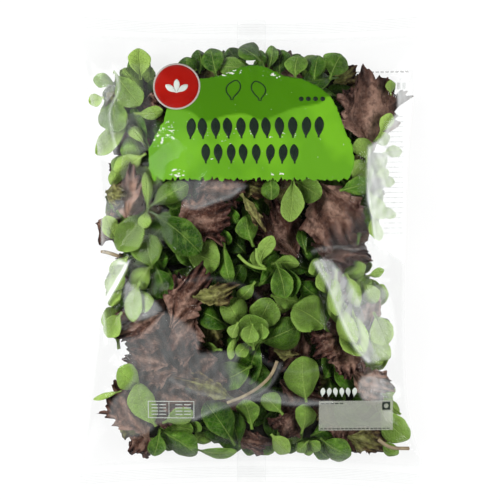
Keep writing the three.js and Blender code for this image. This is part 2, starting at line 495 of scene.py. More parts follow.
@dataclass(frozen=True)
class FilmFinish:
    """Clear film: a mirror-like skin, milky where it is sealed, and whitened by painted reflections of the
    lamps and painted highlights along its ridges, unevenly with its crinkle.
    """

    name: str = "clear_film"
    whitening: Colour = srgb(244, 247, 246)
    clear: Colour = (0.975, 0.977, 0.976, 1.0)
    facing_shine: float = 0.005
    grazing_shine: float = 0.5
    shine_power: float = 2.5
    roughness: float = 0.06
    milk_roughness: float = 0.3
    crinkle_scale: float = 140.0
    fine_scale: float = 900.0
    relief: float = 0.0012
    most_milk: float = 0.85

    def build(self) -> Material:
        """Build the material."""
        s = Shade(self.name)
        crinkle = s.noise(self.crinkle_scale, 3.0)
        normal = s.bump(crinkle + s.noise(self.fine_scale, 2.0) * 0.05, self.relief, 0.2)
        facing = s.value("ShaderNodeLayerWeight", "Facing", inputs={"Blend": 0.35, "Normal": normal})
        shine = facing**self.shine_power * self.grazing_shine + self.facing_shine
        gloss = s.node(
            "ShaderNodeBsdfAnisotropic",
            None,
            {"Color": WHITE, "Roughness": self.roughness, "Normal": normal},
        )
        through = s.node("ShaderNodeBsdfTransparent", None, {"Color": self.clear})
        whitening = s.coat(self.whitening, self.milk_roughness)
        # Milky share: the film's own milk at the seals and rim, and painted reflections and painted
        # highlights elsewhere
        haze = (s.attribute("haze") * (0.75 + crinkle * 0.5)).held(0.0, self.most_milk)
        return s.finish(s.blend(haze, s.blend(shine, through, gloss), whitening))


@dataclass(frozen=True)
class Waist:
    """How one side of the tube is drawn in: depth and reach in millimetres, and how it fades."""

    depth: float
    y: float
    up: float
    down: float
    up_power: float
    down_power: float

    def pull(self, y: Array) -> Array:
        """Give how far the side is drawn in at y."""
        over = y > self.y
        reach = np.where(over, self.up, self.down)
        power = np.where(over, self.up_power, self.down_power)
        share = np.minimum(1, np.abs(y - self.y) / reach)
        return self.depth * (1 - share**power)


@dataclass(frozen=True)
class Seal:
    """One flat end seal: its inner line, its depth, and how both run on towards the corners."""

    start: float
    depth: float
    start_flare: float
    edge_flare: float
    droop: float

    def line(self, u: Array) -> Array:
        """Give the y where the body ends and the seal starts."""
        return self.start + self.start_flare * u * u


@dataclass(frozen=True)
class BagShape:
    """The filled tube, in millimetres: u runs across it and s along it, both from -1 to 1."""

    half_width: float
    seam_height: float = 24.0
    seal_height: float = 9.0
    rise: float = 37.0
    drop: float = 31.0
    left: Waist = Waist(17, -15, 150, 138, 3, 1.5)
    right: Waist = Waist(12, -12, 150, 124, 2.6, 5)
    top_seal: Seal = Seal(137, 13.5, 3.5, 5.5, 2.5)
    bottom_seal: Seal = Seal(137, 14.5, 4.5, 3.5, 3)
    seal_wave: float = 1.3
    seal_waves: float = 2.5
    pucker: float = 1.3
    puckers: float = 4.5
    pucker_reach: float = 0.3
    across_power: float = 2.5
    across_round: float = 0.62
    along_power: float = 3.2
    along_round: float = 0.6
    seam_power: float = 2.4
    film_gap: float = 0.3
    floor_gap: float = 0.25
    map_margin: float = 6.0
    map_length: float = 330.0
    swells: tuple[tuple[float, float, float, float], ...] = (
        (1.5, 1.3, 1.1, 0.6),
        (1.2, -1.9, 1.6, 2.1),
        (0.9, 2.7, 2.4, 4.0),
    )

    @property
    def map_size(self) -> tuple[float, float]:
        """Give the plan box that its height maps cover."""
        return 2 * self.half_width + self.map_margin, self.map_length

    def plan(self, u: Array, s: Array) -> tuple[Array, Array]:
        """Give the plan position; s runs on to -2 or 2 at a seal's cut edge."""
        top, bottom = self.top_seal.line(u), -self.bottom_seal.line(u)
        y = (top + bottom) / 2 + np.clip(s, -1, 1) * (top - bottom) / 2
        past = np.maximum(0, np.abs(s) - 1)
        up = self.top_seal.depth + self.top_seal.edge_flare * np.abs(u) ** 3
        down = self.bottom_seal.depth + self.bottom_seal.edge_flare * np.abs(u) ** 3
        y = y + np.where(s > 0, up, -down) * past
        left, right = self.edges(y)
        return left + (u + 1) / 2 * (right - left), y

    def edges(self, y: Array) -> tuple[Array, Array]:
        """Give the x of the left and right creases at y."""
        return -self.half_width + self.left.pull(y), self.half_width - self.right.pull(y)

    def coordinates(self, x: Array, y: Array) -> tuple[Array, Array]:
        """Give u and s of a plan position, held inside the body."""
        left, right = self.edges(y)
        u = np.clip(2 * (x - left) / (right - left) - 1, -1, 1)
        top, bottom = self.top_seal.line(u), -self.bottom_seal.line(u)
        return u, np.clip((2 * y - top - bottom) / (top - bottom), -1, 1)

    def plumpness(self, u: Array, s: Array) -> Array:
        """Give the share of the full thickness."""
        across = np.maximum(0, 1 - np.abs(u) ** self.across_power)
        along = np.maximum(0, 1 - np.abs(s) ** self.along_power)
        return across**self.across_round * along**self.along_round

    def seam(self, u: Array, s: Array) -> Array:
        """Give the height of the sheet between the two films, seals included."""
        inside = np.minimum(1, np.abs(s))
        past = np.maximum(0, np.abs(s) - 1)
        droop = np.where(s > 0, self.top_seal.droop, self.bottom_seal.droop)
        wave = self.seal_wave * np.cos(self.seal_waves * np.pi * u + np.sign(s))
        fall = (self.seal_height - self.seam_height) * inside**self.seam_power
        return self.seam_height + fall + past * (wave - droop)

    def upper(self, u: Array, s: Array) -> Array:
        """Give the height of the upper film without its fine wrinkles."""
        swell = sum(
            height * np.cos(np.pi * (across * u + along * s) + phase)
            for height, across, along, phase in self.swells
        )
        share = np.clip((np.abs(s) - 1 + self.pucker_reach) / self.pucker_reach, 0, 1)
        fade = np.sin(np.pi * share**2) * (1 - u**4)
        pleats = self.pucker * fade * np.cos(self.puckers * np.pi * u + np.sign(s))
        return self.seam(u, s) + self.plumpness(u, s) * (self.rise + swell) + pleats

    def lower(self, u: Array, s: Array) -> Array:
        """Give the height of the lower film."""
        height = self.seam(u, s) - self.drop * self.plumpness(u, s) - self.film_gap
        return np.maximum(self.floor_gap, height)


@dataclass
class HeightMap:
    """Heights over a plan grid, in millimetres and with a step of 1."""

    values: Array
    left: float
    bottom: float

    @classmethod
    def over(cls, width: float, length: float, height: Callable[[Array, Array], Array]) -> "HeightMap":
        """Sample a height over a plan box round the origin, width along X and length along Y."""
        x = np.arange(-width / 2, width / 2 + 1)
        y = np.arange(-length / 2, length / 2 + 1)
        return cls(height(*np.meshgrid(x, y)), x[0], y[0])

    def index(self, x: Array, y: Array) -> tuple[Array, Array]:
        """Give the place in the grid, held inside it."""
        rows, columns = self.values.shape
        i = np.clip(x - self.left, 0, columns - 1.001)
        j = np.clip(y - self.bottom, 0, rows - 1.001)
        return i, j

    def at(self, x: Array, y: Array) -> Array:
        """Give the height between the grid's points."""
        i, j = self.index(np.asarray(x, float), np.asarray(y, float))
        i0, j0 = i.astype(int), j.astype(int)
        fi, fj = i - i0, j - j0
        v = self.values
        low = v[j0, i0] * (1 - fi) + v[j0, i0 + 1] * fi
        high = v[j0 + 1, i0] * (1 - fi) + v[j0 + 1, i0 + 1] * fi
        return low * (1 - fj) + high * fj

    def lower_to(self, x: Array, y: Array, z: Array) -> None:
        """Bring the map down to z at the cells that the points fall in."""
        i, j = self.index(x, y)
        cells = (np.rint(j).astype(int).ravel(), np.rint(i).astype(int).ravel())
        np.minimum.at(self.values, cells, z.ravel())

    def settled(self, radius: int, box: tuple[float, float, float, float]) -> "HeightMap":
        """Give a smooth map that stays under this one over a plan box.

        Args:
            radius: how far it reaches, in cells.
            box: low x, low y, high x and high y.

        Returns:
            The map over the box.
        """
        pad = 2 * radius + 2
        i0, j0 = (int(v) for v in self.index(np.array(box[0] - pad), np.array(box[1] - pad)))
        i1, j1 = (int(v) + 2 for v in self.index(np.array(box[2] + pad), np.array(box[3] + pad)))
        part = self.values[j0:j1, i0:i1]
        for reduce in (np.minimum.reduce, mean_of):
            for axis in (0, 1):
                part = spread(part, radius, axis, reduce)
        return HeightMap(part, self.left + i0, self.bottom + j0)


def mean_of(parts: list[Array]) -> Array:
    """Give the mean of like arrays."""
    return sum(parts) / len(parts)


def spread(part: Array, radius: int, axis: int, reduce: Callable[[list[Array]], Array]) -> Array:
    """Reduce each cell with its neighbours along one axis, up to a radius in cells on each side."""
    ends = [(radius, radius) if a == axis else (0, 0) for a in (0, 1)]
    wide = np.pad(part, ends, mode="edge")
    size = part.shape[axis]
    return reduce([np.take(wide, range(k, k + size), axis) for k in range(2 * radius + 1)])


@dataclass
class Mesher:
    """Gathers points and triangles of one piece, in millimetres."""

    points: list[Array] = field(default_factory=list)
    triangles: list[Array] = field(default_factory=list)
    flat: list[Array] = field(default_factory=list)
    numbers: dict[str, list[Array]] = field(default_factory=dict)
    count: int = 0

    def add(self, points: Array, triangles: Array, flat: Array | None = None, **numbers: Array) -> None:
        """Add one shape.

        Args:
            points: its points, one row each.
            triangles: its triangles, as rows of point numbers.
            flat: its UV coordinates, one row for each point.
            numbers: further numbers for each point, by attribute name.
        """
        self.points.append(points)
        self.triangles.append(triangles + self.count)
        self.flat.append(np.zeros((len(points), 2)) if flat is None else flat)
        for name, given in numbers.items():
            self.numbers.setdefault(name, []).append(np.broadcast_to(given, len(points)))
        self.count += len(points)

    def build(self, name: str, material: Material, smooth: bool = True) -> Object:
        """Make the piece.

        Args:
            name: the object's name.
            material: its finish.
            smooth: whether its faces shade smoothly.

        Returns:
            The object, at the origin and in metres.
        """
        points = np.concatenate(self.points) * MM
        triangles = np.concatenate(self.triangles).astype(np.int32)
        mesh = bpy.data.meshes.new(name)
        mesh.vertices.add(len(points))
        mesh.vertices.foreach_set("co", points.astype(np.float32).ravel())
        mesh.loops.add(triangles.size)
        mesh.loops.foreach_set("vertex_index", triangles.ravel())
        mesh.polygons.add(len(triangles))
        mesh.polygons.foreach_set("loop_start", np.arange(0, triangles.size, 3, dtype=np.int32))
        mesh.update(calc_edges=True)
        mesh.polygons.foreach_set("use_smooth", np.full(len(triangles), smooth))
        layer = mesh.uv_layers.new(name="leaf")
        layer.uv.foreach_set("vector", np.concatenate(self.flat)[triangles.ravel()].ravel())
        for key, given in self.numbers.items():
            attribute = mesh.attributes.new(key, "FLOAT", "POINT")
            attribute.data.foreach_set("value", np.concatenate(given).astype(np.float32))
        mesh.materials.append(material)
        mesh.validate()
        return add_object(name, mesh)


def grid_triangles(rows: int, columns: int, start: int = 0, turned: bool = False) -> Array:
    """Give the triangles of a grid of points.

    Args:
        rows: how many rows of points.
        columns: how many points in a row.
        start: the first point's number.
        turned: whether the faces point the other way.

    Returns:
        The triangles, two for each cell, always split along the same diagonal.
    """
    j, i = np.meshgrid(np.arange(rows - 1), np.arange(columns - 1), indexing="ij")
    a = (j * columns + i).ravel() + start
    b, c, d = a + 1, a + columns + 1, a + columns
    faces = np.concatenate([np.stack([a, b, c], 1), np.stack([a, c, d], 1)])
    return faces[:, ::-1] if turned else faces


def slab(x: Array, y: Array, high: Array, low: Array) -> tuple[Array, Array]:
    """Close the space between two height grids over the same plan points.

    Args:
        x: the plan points' x, as a grid whose columns run to the right of its rows.
        y: the plan points' y.
        high: the upper heights.
        low: the lower heights.

    Returns:
        The points and the triangles, facing out.
    """
    rows, columns = x.shape
    size = rows * columns
    points = np.concatenate(
        [np.stack([x, y, z], -1).reshape(-1, 3) for z in (high, low)]
    )
    number = np.arange(size).reshape(rows, columns)
    loop = np.concatenate(
        [number[0, :-1], number[:-1, -1], number[-1, :0:-1], number[:0:-1, 0]]
    )
    after = np.roll(loop, -1)
    rim = np.concatenate(
        [np.stack([loop, loop + size, after + size], 1), np.stack([loop, after + size, after], 1)]
    )
    faces = [grid_triangles(rows, columns), grid_triangles(rows, columns, size, True), rim]
    return points, np.concatenate(faces)


class LeafKind(Enum):
    """The kinds of leaf in the mix."""

    LAMBS = "lamb's lettuce"
    RED = "frilled red lettuce"
    OLIVE = "frilled olive lettuce"


@dataclass(frozen=True)
class SpoonForm:
    """The form of a spoon-shaped leaf, with its depths in millimetres."""

    stalk_share: float = 0.09
    stalk_most: float = 0.95
    blade_skew: float = 1.2
    blade_round: float = 0.58
    rib_depth: float = 0.35
    rib_width: float = 0.16
    wave_depth: float = 0.5
    crook_start: float = 0.15


@dataclass(frozen=True)
class FrilledForm:
    """The form of a frilled leaf: how it fans out, and how its margin, ribs and face wave."""

    fan: float = 1.15
    foot: float = 0.1
    broad_width: float = 26.0
    lobes: Waves = ((0.07, 4.7, 1),)
    teeth: Waves = ((0.06, 10, -1), (0.026, 29, 1), (0.014, 47, 0))
    sides: Waves = ((0.08, 13, 1), (0.05, 31, 0), (0.03, 52, 0))
    bend: Waves = ((0.16, 3.5, 1), (0.05, 9, -1))
    branching: float = 2.2
    branch_share: float = 0.55
    ridge_power: float = 0.7
    valley_depth: float = 0.2
    curl: float = 1.5
    curl_swing: float = 1.4
    pucker_depth: float = 0.55


SPOON = SpoonForm()
FRILLED = FrilledForm()


def wavy(at: Array, waves: Waves, phase: float) -> Array:
    """Add sine waves, each with its height, its rate and its share of the phase."""
    return sum(height * np.sin(rate * at + share * phase) for height, rate, share in waves)


@dataclass(frozen=True)
class Leaf:
    """One leaf that lies against the film, in millimetres and seen from outside it."""

    base: Point
    tip: Point
    width: float
    # tone with painted light and shade, from -1 to 1
    tone: float = 0.0
    kind: LeafKind = LeafKind.LAMBS
    depth: float = 0.0
    cup: float = 1.2
    dip: float = 0.0
    roll: float = 0.0
    sway: float = 0.0
    phase: float = 0.0
    stalk: float = 0.1
    crook: float = 0.0
    folds: float = 2.4
    crinkle: float = 0.6
    thickness: float = 0.35
    foot_sink: float = 1.6

    @property
    def length(self) -> float:
        """Give its length from stalk to tip."""
        return math.dist(self.base, self.tip)

    @property
    def frilled(self) -> bool:
        """Tell whether it is one of the frilled kinds."""
        return self.kind is not LeafKind.LAMBS

    def half_width(self, t: Array) -> Array:
        """Give half the width at t, from 0 at the stalk's foot to 1 at the tip."""
        if self.frilled:
            opened = smoothstep(0.02, 0.6, t) ** 0.8
            return np.maximum(1.0, self.width / 2 * (FRILLED.foot + (1 - FRILLED.foot) * opened))
        blade = np.clip((t - self.stalk) / (1 - self.stalk), 0, 1)
        outline = np.sin(np.pi * blade**SPOON.blade_skew) ** SPOON.blade_round
        stalk = min(SPOON.stalk_most, self.width * SPOON.stalk_share)
        return np.maximum(stalk, self.width / 2 * outline)

    def fanned(self, t: Array, q: Array) -> tuple[Array, Array]:
        """Give how far a frilled leaf's points reach along it and spread across it."""
        broad = q * min(1.0, self.width / FRILLED.broad_width)
        margin = wavy(q, FRILLED.lobes, self.phase) + wavy(broad, FRILLED.teeth, self.phase)
        out = 1 + margin * t**1.5
        side = wavy(t, FRILLED.sides, self.phase)
        fan = FRILLED.fan * q
        reach = t * (0.5 * np.cos(fan) + 0.5) * out + side * np.abs(q) ** 3 * 0.5 * t
        return reach, np.sin(fan) / math.sin(FRILLED.fan) * out * (1 + 2.2 * side * q * q)

    def grid(self, rows: int, columns: int) -> tuple[Array, Array, Array, Array]:
        """Give the leaf's own coordinates and plan positions.

        Args:
            rows: steps along it.
            columns: steps across it.

        Returns:
            t, q, x and y, each as a grid.
        """
        even = np.linspace(0, 1, rows + 1)
        t = (0.5 * even + 0.25 * (1 - np.cos(np.pi * even)))[:, None] + np.zeros(columns + 1)
        q = np.linspace(-1, 1, columns + 1)[None, :] + np.zeros((rows + 1, 1))
        reach, wide = self.fanned(t, q) if self.frilled else (t, q)
        uneven = 1 + 0.1 * np.sign(q) * np.sin(4.4 * t + self.phase)
        uneven = uneven + 0.03 * np.sin(19 * t + self.phase + q)
        across = wide * self.half_width(t) * uneven + self.sway * self.length * np.sin(np.pi * t)
        ax, ay = self.tip[0] - self.base[0], self.tip[1] - self.base[1]
        sx, sy = ay / self.length, -ax / self.length
        return t, q, self.base[0] + ax * reach + sx * across, self.base[1] + ay * reach + sy * across

    def bends(self, t: Array, q: Array) -> Array:
        """Give how far the leaf's large bends lie under the smooth surface that it follows."""
        bell = np.sin(np.pi * np.clip(t, 0, 1)) ** 0.6
        side = np.abs(q) ** 1.4
        fold = self.cup * side if self.cup > 0 else -self.cup * (1 - side)
        foot = self.foot_sink * (1 - t) ** 3
        return fold * bell + self.dip * t * t + self.roll * (1 + q) / 2 + foot

    def spoon_relief(self, t: Array, q: Array) -> Array:
        """Give how deep a spoon-shaped leaf's midrib, soft wave and turned-down side lie."""
        rib = SPOON.rib_depth * np.exp(-((q / SPOON.rib_width) ** 2)) * (1 - t)
        wave = SPOON.wave_depth * (1 + np.sin(6 * t + self.phase + 2 * q)) * np.abs(q)
        return rib + wave + self.crook * np.maximum(0, q - SPOON.crook_start) ** 1.5

    def frilled_relief(self, t: Array, q: Array) -> Array:
        """Give how deep a frilled leaf's folds, curled margin, ruffles and puckers lie."""
        bent = (q + wavy(t, FRILLED.bend, self.phase)) * self.folds * np.pi
        ridge = (0.5 + 0.5 * np.cos(bent)) ** FRILLED.ridge_power
        branch = (0.5 + 0.5 * np.cos(FRILLED.branching * bent + 1)) ** FRILLED.ridge_power
        apart = FRILLED.branch_share * smoothstep(0.3, 0.8, t)
        valley = 1 - ridge * (1 - apart) - branch * apart
        valley = valley * self.width * FRILLED.valley_depth * t**0.5
        margin = smoothstep(0.6, 1.0, np.maximum(t, np.abs(q) * (0.5 + 0.5 * t)))
        across, along = q * self.width / 2, t * self.length
        frill = np.sin(2.2 * across + 4 * t + self.phase) * t + np.sin(0.9 * along + 5 * q) * np.abs(q)
        curl = margin * (FRILLED.curl + FRILLED.curl_swing * frill)
        ruffle = np.sin(along * 0.85 + 1.6 * np.sin(across * 0.6 + self.phase))
        ruffle = 1 + ruffle * np.sin(across * 0.8 + 1.5 * np.sin(along * 0.5))
        pucker = np.sin(along * 1.9 + 2 * np.sin(across * 0.9)) * np.sin(across * 1.7 + 1.2 * np.sin(along))
        pucker = FRILLED.pucker_depth * pucker * smoothstep(0.15, 0.6, t)
        return np.maximum(0, valley + curl + self.crinkle * ruffle + pucker)

    def relief(self, t: Array, q: Array) -> Array:
        """Give how deep its ribs, folds and frills lie."""
        return self.frilled_relief(t, q) if self.frilled else self.spoon_relief(t, q)

    def under(self, t: Array, q: Array) -> Array:
        """Give how far each point lies under the smooth surface that the leaf follows."""
        return self.bends(t, q) + self.relief(t, q)

    def lowness(self, t: Array, q: Array) -> Array:
        """Give how deep each point lies as a share, which the finish darkens as painted shade."""
        return self.relief(t, q) / (2.0 + self.width * 0.18) if self.frilled else self.under(t, q) / 7.0


@dataclass
class Pile:
    """Lays leaves against one film, each under those that were laid before it."""

    ceiling: HeightMap
    floor: HeightMap
    upward: bool = True
    gap: float = 0.25
    rest: float = 0.6
    tight: float = 1.6
    flattest: float = 0.12
    step: float = 0.8

    def heights(self, leaf: Leaf, t: Array, q: Array, x: Array, y: Array, cover: HeightMap) -> Array:
        """Give the leaf's heights under the map that it follows, flatter where room is short."""
        over, below = cover.at(x, y) - self.gap, self.floor.at(x, y) + self.rest
        sink = leaf.depth + leaf.under(t, q)
        share = np.clip((over - below) / (sink.max() + 0.5), self.flattest, 1)
        return np.maximum(over - sink * share, below)

    def room(self, x: Array, y: Array, cover: HeightMap) -> float:
        """Give the room that is left for a leaf, in millimetres."""
        return float(np.median(cover.at(x, y) - self.floor.at(x, y)))

    def lay(self, leaf: Leaf, rows: int, columns: int, into: Mesher, needed: bool = True) -> None:
        """Lay one leaf and add its thin solid to a piece.

        Args:
            leaf: the leaf.
            rows: mesh steps along it.
            columns: mesh steps across it.
            into: the piece.
            needed: whether it is laid also where no room is left.
        """
        close = leaf.grid(*(max(4, round(size / self.step)) for size in (leaf.length, leaf.width)))
        x, y = close[2:]
        cover = self.ceiling.settled(3 if leaf.frilled else 2, (x.min(), y.min(), x.max(), y.max()))
        if not needed and self.room(x, y, cover) < self.tight:
            return
        self.ceiling.lower_to(x, y, self.heights(leaf, *close, cover) - leaf.thickness)
        t, q, x, y = leaf.grid(rows, columns)
        top = self.heights(leaf, t, q, x, y, cover)
        points, faces = slab(x, y, top, top - leaf.thickness)
        if not self.upward:
            points = points * (1, 1, -1)
            faces = faces[:, ::-1]
        flat = np.tile(np.stack([(q + 1) / 2, t], -1).reshape(-1, 2), (2, 1))
        half, low = (np.tile(part.ravel(), 2) for part in (leaf.half_width(t), leaf.lowness(t, q)))
        into.add(points, faces, flat, tone=np.float64(leaf.tone), half=half, low=low)


# The lowest and the highest cup, roll, sway and phase of a placed leaf
PLACED_BENDS = ((-0.36, 0, -0.08, 0), (0.42, 0.34, 0.08, 6.3))


def rows_of(kind: LeafKind, rows: Iterable[Sequence[float]], rng: np.random.Generator) -> list[Leaf]:
    """Make leaves from listed rows.

    Args:
        kind: their kind.
        rows: base x, base y, tip x, tip y, width, tone with painted light and shade, and the depth where it
            isn't 0.
        rng: draws the small bends that the rows leave out.

    Returns:
        The leaves, in the order of the rows.
    """
    leaves = []
    for row in rows:
        cup, roll, sway, phase = rng.uniform(*PLACED_BENDS)
        base_x, base_y, tip_x, tip_y, width, tone, depth = (*row, 0.0)[:7]
        leaf = Leaf(
            (base_x, base_y), (tip_x, tip_y), width, tone, kind, depth,
            cup=cup * width * (1.0 if kind is LeafKind.LAMBS else 0.4),
            roll=roll * width,
            sway=sway,
            phase=phase,
            stalk=rng.uniform(0.08, 0.22),
            crook=max(0.0, rng.uniform(-9, 7)),
            folds=rng.uniform(1.7, 3.0),
            crinkle=rng.uniform(0.3, 0.9),
        )
        leaves.append(leaf)
    return leaves


# Leaves that show through the front, topmost first: base x, base y, tip x, tip y, width, tone, from -1
# for a leaf in painted shade to 1 for a pale leaf, partly its underside's colour and partly painted light,
# and the depth where it isn't 0
SHOWN_LEAVES = (
    (LeafKind.LAMBS, (
        # rosette at the left of the middle
        (-65, 27, -66, 50, 7, 0.6), (-65, 27, -39, 42, 15, 0.2), (-65, 27, -67, 14, 9, 0.6),
        (-64, 25, -31, -2, 22, -0.35), (-65, 27, -85, 0, 20, 0.4),
        # under the print, and beside the red leaf below it
        (28, 49, 26, 18, 15, 0.6), (30, 44, 46, 34, 16, 0.3),
        # over the red leaf under a painted reflection
        (-60, -114, -72, -86, 18, 0.55), (-67, -90, -84, -76, 17, 0.55),
        (-56, -112, -36, -104, 12, 0.45), (-70, -20, -75, -46, 12, 0.6),
        # leaves in painted light, pale under the painted reflections at the left
        (-84, 4, -93, 22, 12, 1.0), (-80, -12, -92, -26, 12, 1.0), (-74, -22, -66, -40, 14, 0.7),
        (-82, -40, -92, -56, 13, 0.8),
        # leaves in painted light, pale under the painted reflections at the right
        (77, 37, 87, 20, 11, 1.0), (80, 23, 84, 6, 9, 1.0), (83, 28, 95, 22, 7, 1.0),
        (76, 56, 71, 72, 14, 0.65), (58, 38, 79, 44, 12, 0.05), (84, 74, 92, 88, 9, 1.0),
        (80, 70, 91, 73, 9, 0.95), (62, -15, 70, -36, 10, 0.85), (56, -12, 56, -42, 10, 0.8),
        (58, -34, 68, -60, 13, 0.95), (66, -38, 74, -66, 12, 1.0), (72, -20, 82, -34, 12, 0.65),
        (46, -8, 52, -28, 12, 0.8), (50, -24, 61, -48, 13, 0.9), (60, -46, 73, -68, 14, 1.0),
        (80, -40, 89, -61, 17, 1.0), (69, -52, 91, -70, 14, 1.0),
        # small leaf on the red leaf in the top right corner
        (92, 100, 92, 110, 7, 0.6),
    )),
    (LeafKind.OLIVE, (
        (-36, -30, -8, -24, 13, 0.3), (-10, -96, -44, -82, 12, -0.1), (-5, 36, 10, 12, 6, 0.5),
        (-93, 38, -80, 34, 14, 0.6),
    )),
    (LeafKind.RED, (
        (-78, 16, -73, 52, 20, 1.0), (79, 64, 80, 114, 38, 0.35), (44, 43, 64, 4, 38, 0.2),
        (-49, 12, -13, 24, 29, -0.2), (-50, -50, -28, -13, 24, 0.05),
        (-54, -40, -88, -54, 20, -0.1), (-34, -40, -48, -64, 26, -0.2),
        (-50, -62, -78, -52, 20, -0.25), (-52, -74, -80, -62, 20, -0.35),
        (-46, -78, -76, -80, 22, -0.35), (-30, -62, -56, -58, 22, -0.4),
        (-34, -84, -62, -74, 22, -0.35), (-20, -70, -44, -76, 22, -0.5),
        (-34, -98, -68, -92, 24, -0.35), (-40, -106, -68, -104, 18, -0.3),
        (-14, -84, -34, -86, 18, -0.5), (60, -55, 42, -66, 18, -0.3), (62, -58, 66, -82, 20, 0.3),
        (66, -78, 92, -92, 20, 0.9), (40, 4, 72, -4, 16, -0.3), (83, -25, 73, -54, 12, 0.9),
    )),
    (LeafKind.LAMBS, (
        # round leaf right of the middle, the folded leaves and the head under them
        (2, -47, -1, -59, 12, 0.45), (-7, -46, -11, -56, 8, 0.5), (8, -47, 9, -57, 8, 0.35),
        (52, -53, 28, -36, 25, 0.35), (3, -64, 0, -41, 20, 0.3), (-2, -54, -15, -31, 18, 0.45),
        (1, -55, 14, -31, 20, 0.3), (6, -60, 33, -48, 22, 0.1), (-10, -52, -35, -38, 18, -0.4),
        (1, -60, -8, -67, 9, 0.4), (-8, -55, -12, -70, 6, 0.6), (2, -74, -22, -86, 19, 0.1),
        (9, -56, 0, -86, 15, -0.1), (37, -98, 34, -68, 23, 0.35), (34, -119, 36, -99, 14, 0.4),
        (17, -8, 23, -31, 15, 0.1), (21, -8, 28, -30, 13, -0.1), (14, -9, 32, -9, 9, 0.4),
        (14, -29, 31, -33, 13, 0.3), (12, -37, 27, -36, 8, 0.9), (4, -20, -7, -32, 9, 0.3),
        (-17, -64, -32, -63, 8, 0.3),
        # left of the middle
        (-62, -12, -66, 10, 21, 0.3), (-62, -9, -76, -24, 14, 0.6), (-60, -11, -54, -31, 16, -0.2),
        (-78, -4, -89, -17, 12, 1.0), (-82, -18, -90, -36, 11, 1.0), (-84, -64, -91, -37, 14, 0.7),
        # under the print
        (13, 48, 14, 32, 12, 0.1),
        # middle
        (-44, 0, -19, -9, 23, 0.45), (-16, 6, -12, -21, 10, 0.1), (3, 2, -2, 22, 15, 0.1),
        (7, -10, 15, 9, 10, 0.6), (6, -12, 3, -1, 8, 0.7), (-14, 28, -8, 17, 8, 0.0),
        (-20, 14, -12, 4, 9, 0.0), (37, -3, 34, 15, 7, 0.0), (49, -17, 41, -6, 12, 0.5),
        (50, -32, 33, -21, 12, -0.4),
        # right side
        (70, 3, 80, 36, 13, 0.05), (83, 8, 84, 39, 9, 1.0), (66, 44, 78, 56, 15, 0.65),
        (86, 62, 99, 64, 8, 1.0), (81, 47, 90, 51, 8, 0.95), (84, 43, 94, 44, 7, 0.95),
        (60, -17, 75, -10, 11, 0.45), (75, -17, 87, -13, 6, 0.55), (67, -28, 79, -20, 9, 0.45),
        (68, -20, 78, -29, 8, 0.55), (82, -40, 86, -22, 11, 0.65), (68, -57, 86, -74, 17, 0.75),
        (82, -92, 95, -91, 10, 0.8), (85, -103, 104, -123, 18, 0.5), (86, -124, 97, -133, 9, 0.3),
        # top left corner
        (-70, 110, -72, 131, 15, 0.9), (-88, 116, -70, 93, 18, 0.4), (-86, 107, -101, 111, 10, 0.3),
        (-94, 99, -104, 96, 9, 1.0), (-87, 99, -85, 76, 20, 0.25), (-78, 84, -99, 62, 14, 0.8),
        (-66, 62, -87, 51, 13, 0.9), (-66, 66, -78, 80, 8, 0.6), (-82, -91, -101, -97, 4, 1.0),
        (-74, 88, -55, 89, 9, 0.5), (-64, 65, -75, 92, 10, -0.1), (-64, 65, -83, 64, 15, 0.3),
        (-79, 64, -88, 51, 11, 0.5), (-82, 62, -89, 42, 10, 0.8),
        # along the top, over the print
        (-38, 110, -41, 125, 14, -0.1), (-21, 112, -25, 131, 15, -0.2),
        (-32, 114, -33, 130, 11, -0.4), (1, 118, -20, 119, 13, 0.2), (8, 122, -6, 132, 14, -0.35),
        (10, 118, 7, 130, 8, 0.0), (12, 116, 15, 133, 9, 0.1), (30, 110, 32, 126, 15, 0.15),
        (20, 112, 22, 130, 15, -0.3), (42, 110, 45, 126, 14, -0.2), (-48, 106, -50, 120, 12, -0.2),
        (52, 110, 60, 127, 18, 0.1), (58, 112, 35, 108, 15, -0.3),
        # rosette at the bottom left, and along the bottom
        (-58, -116, -62, -134, 12, 0.05), (-58, -117, -34, -133, 17, 0.05),
        (-55, -115, -36, -116, 13, 0.25), (-58, -115, -47, -121, 8, -0.15),
        (-39, -109, -31, -117, 8, 0.2), (-9, -127, -28, -98, 20, -0.1),
        (-6, -128, -15, -103, 15, -0.4), (2, -116, -3, -96, 15, 0.2), (22, -106, 9, -93, 13, 0.3),
        (14, -119, 26, -132, 12, 0.6), (-34, -130, -8, -131, 8, 0.2), (38, -124, 31, -131, 8, 0.3),
        (38, -124, 46, -130, 8, 0.3), (38, -125, 39, -134, 7, 0.2), (46, -122, 66, -134, 16, 0.1),
        (42, -126, 52, -136, 9, 0.0),
    )),
    (LeafKind.RED, (
        (31, -5, 14, 29, 28, -0.5, 1.5), (-66, -122, -88, -90, 26, 0.2, 0.3),
        (-66, -119, -75, -133, 16, 0.0, 0.3), (30, -105, 20, -121, 20, -0.5, 1.0),
        (-12, -123, 14, -127, 13, -0.4, 0.5), (-70, 96, -56, 92, 14, 0.0, 0.5),
        (-34, 38, -2, 44, 24, -0.1, 1.0), (20, -84, 46, -94, 22, -0.5, 1.5),
        (56, 0, 78, -8, 18, -0.1, 0.5), (-88, 24, -94, 4, 12, 0.4, 0.5),
    )),
    (LeafKind.OLIVE, (
        (-10, 40, 12, 38, 13, -0.2, 1.0), (-93, 17, -84, 21, 11, -0.1), (16, -64, 31, -66, 8, 0.8),
        (64, -121, 88, -127, 17, 0.1, 0.3), (55, 108, 70, 118, 12, -0.2, 2.0),
    )),
)

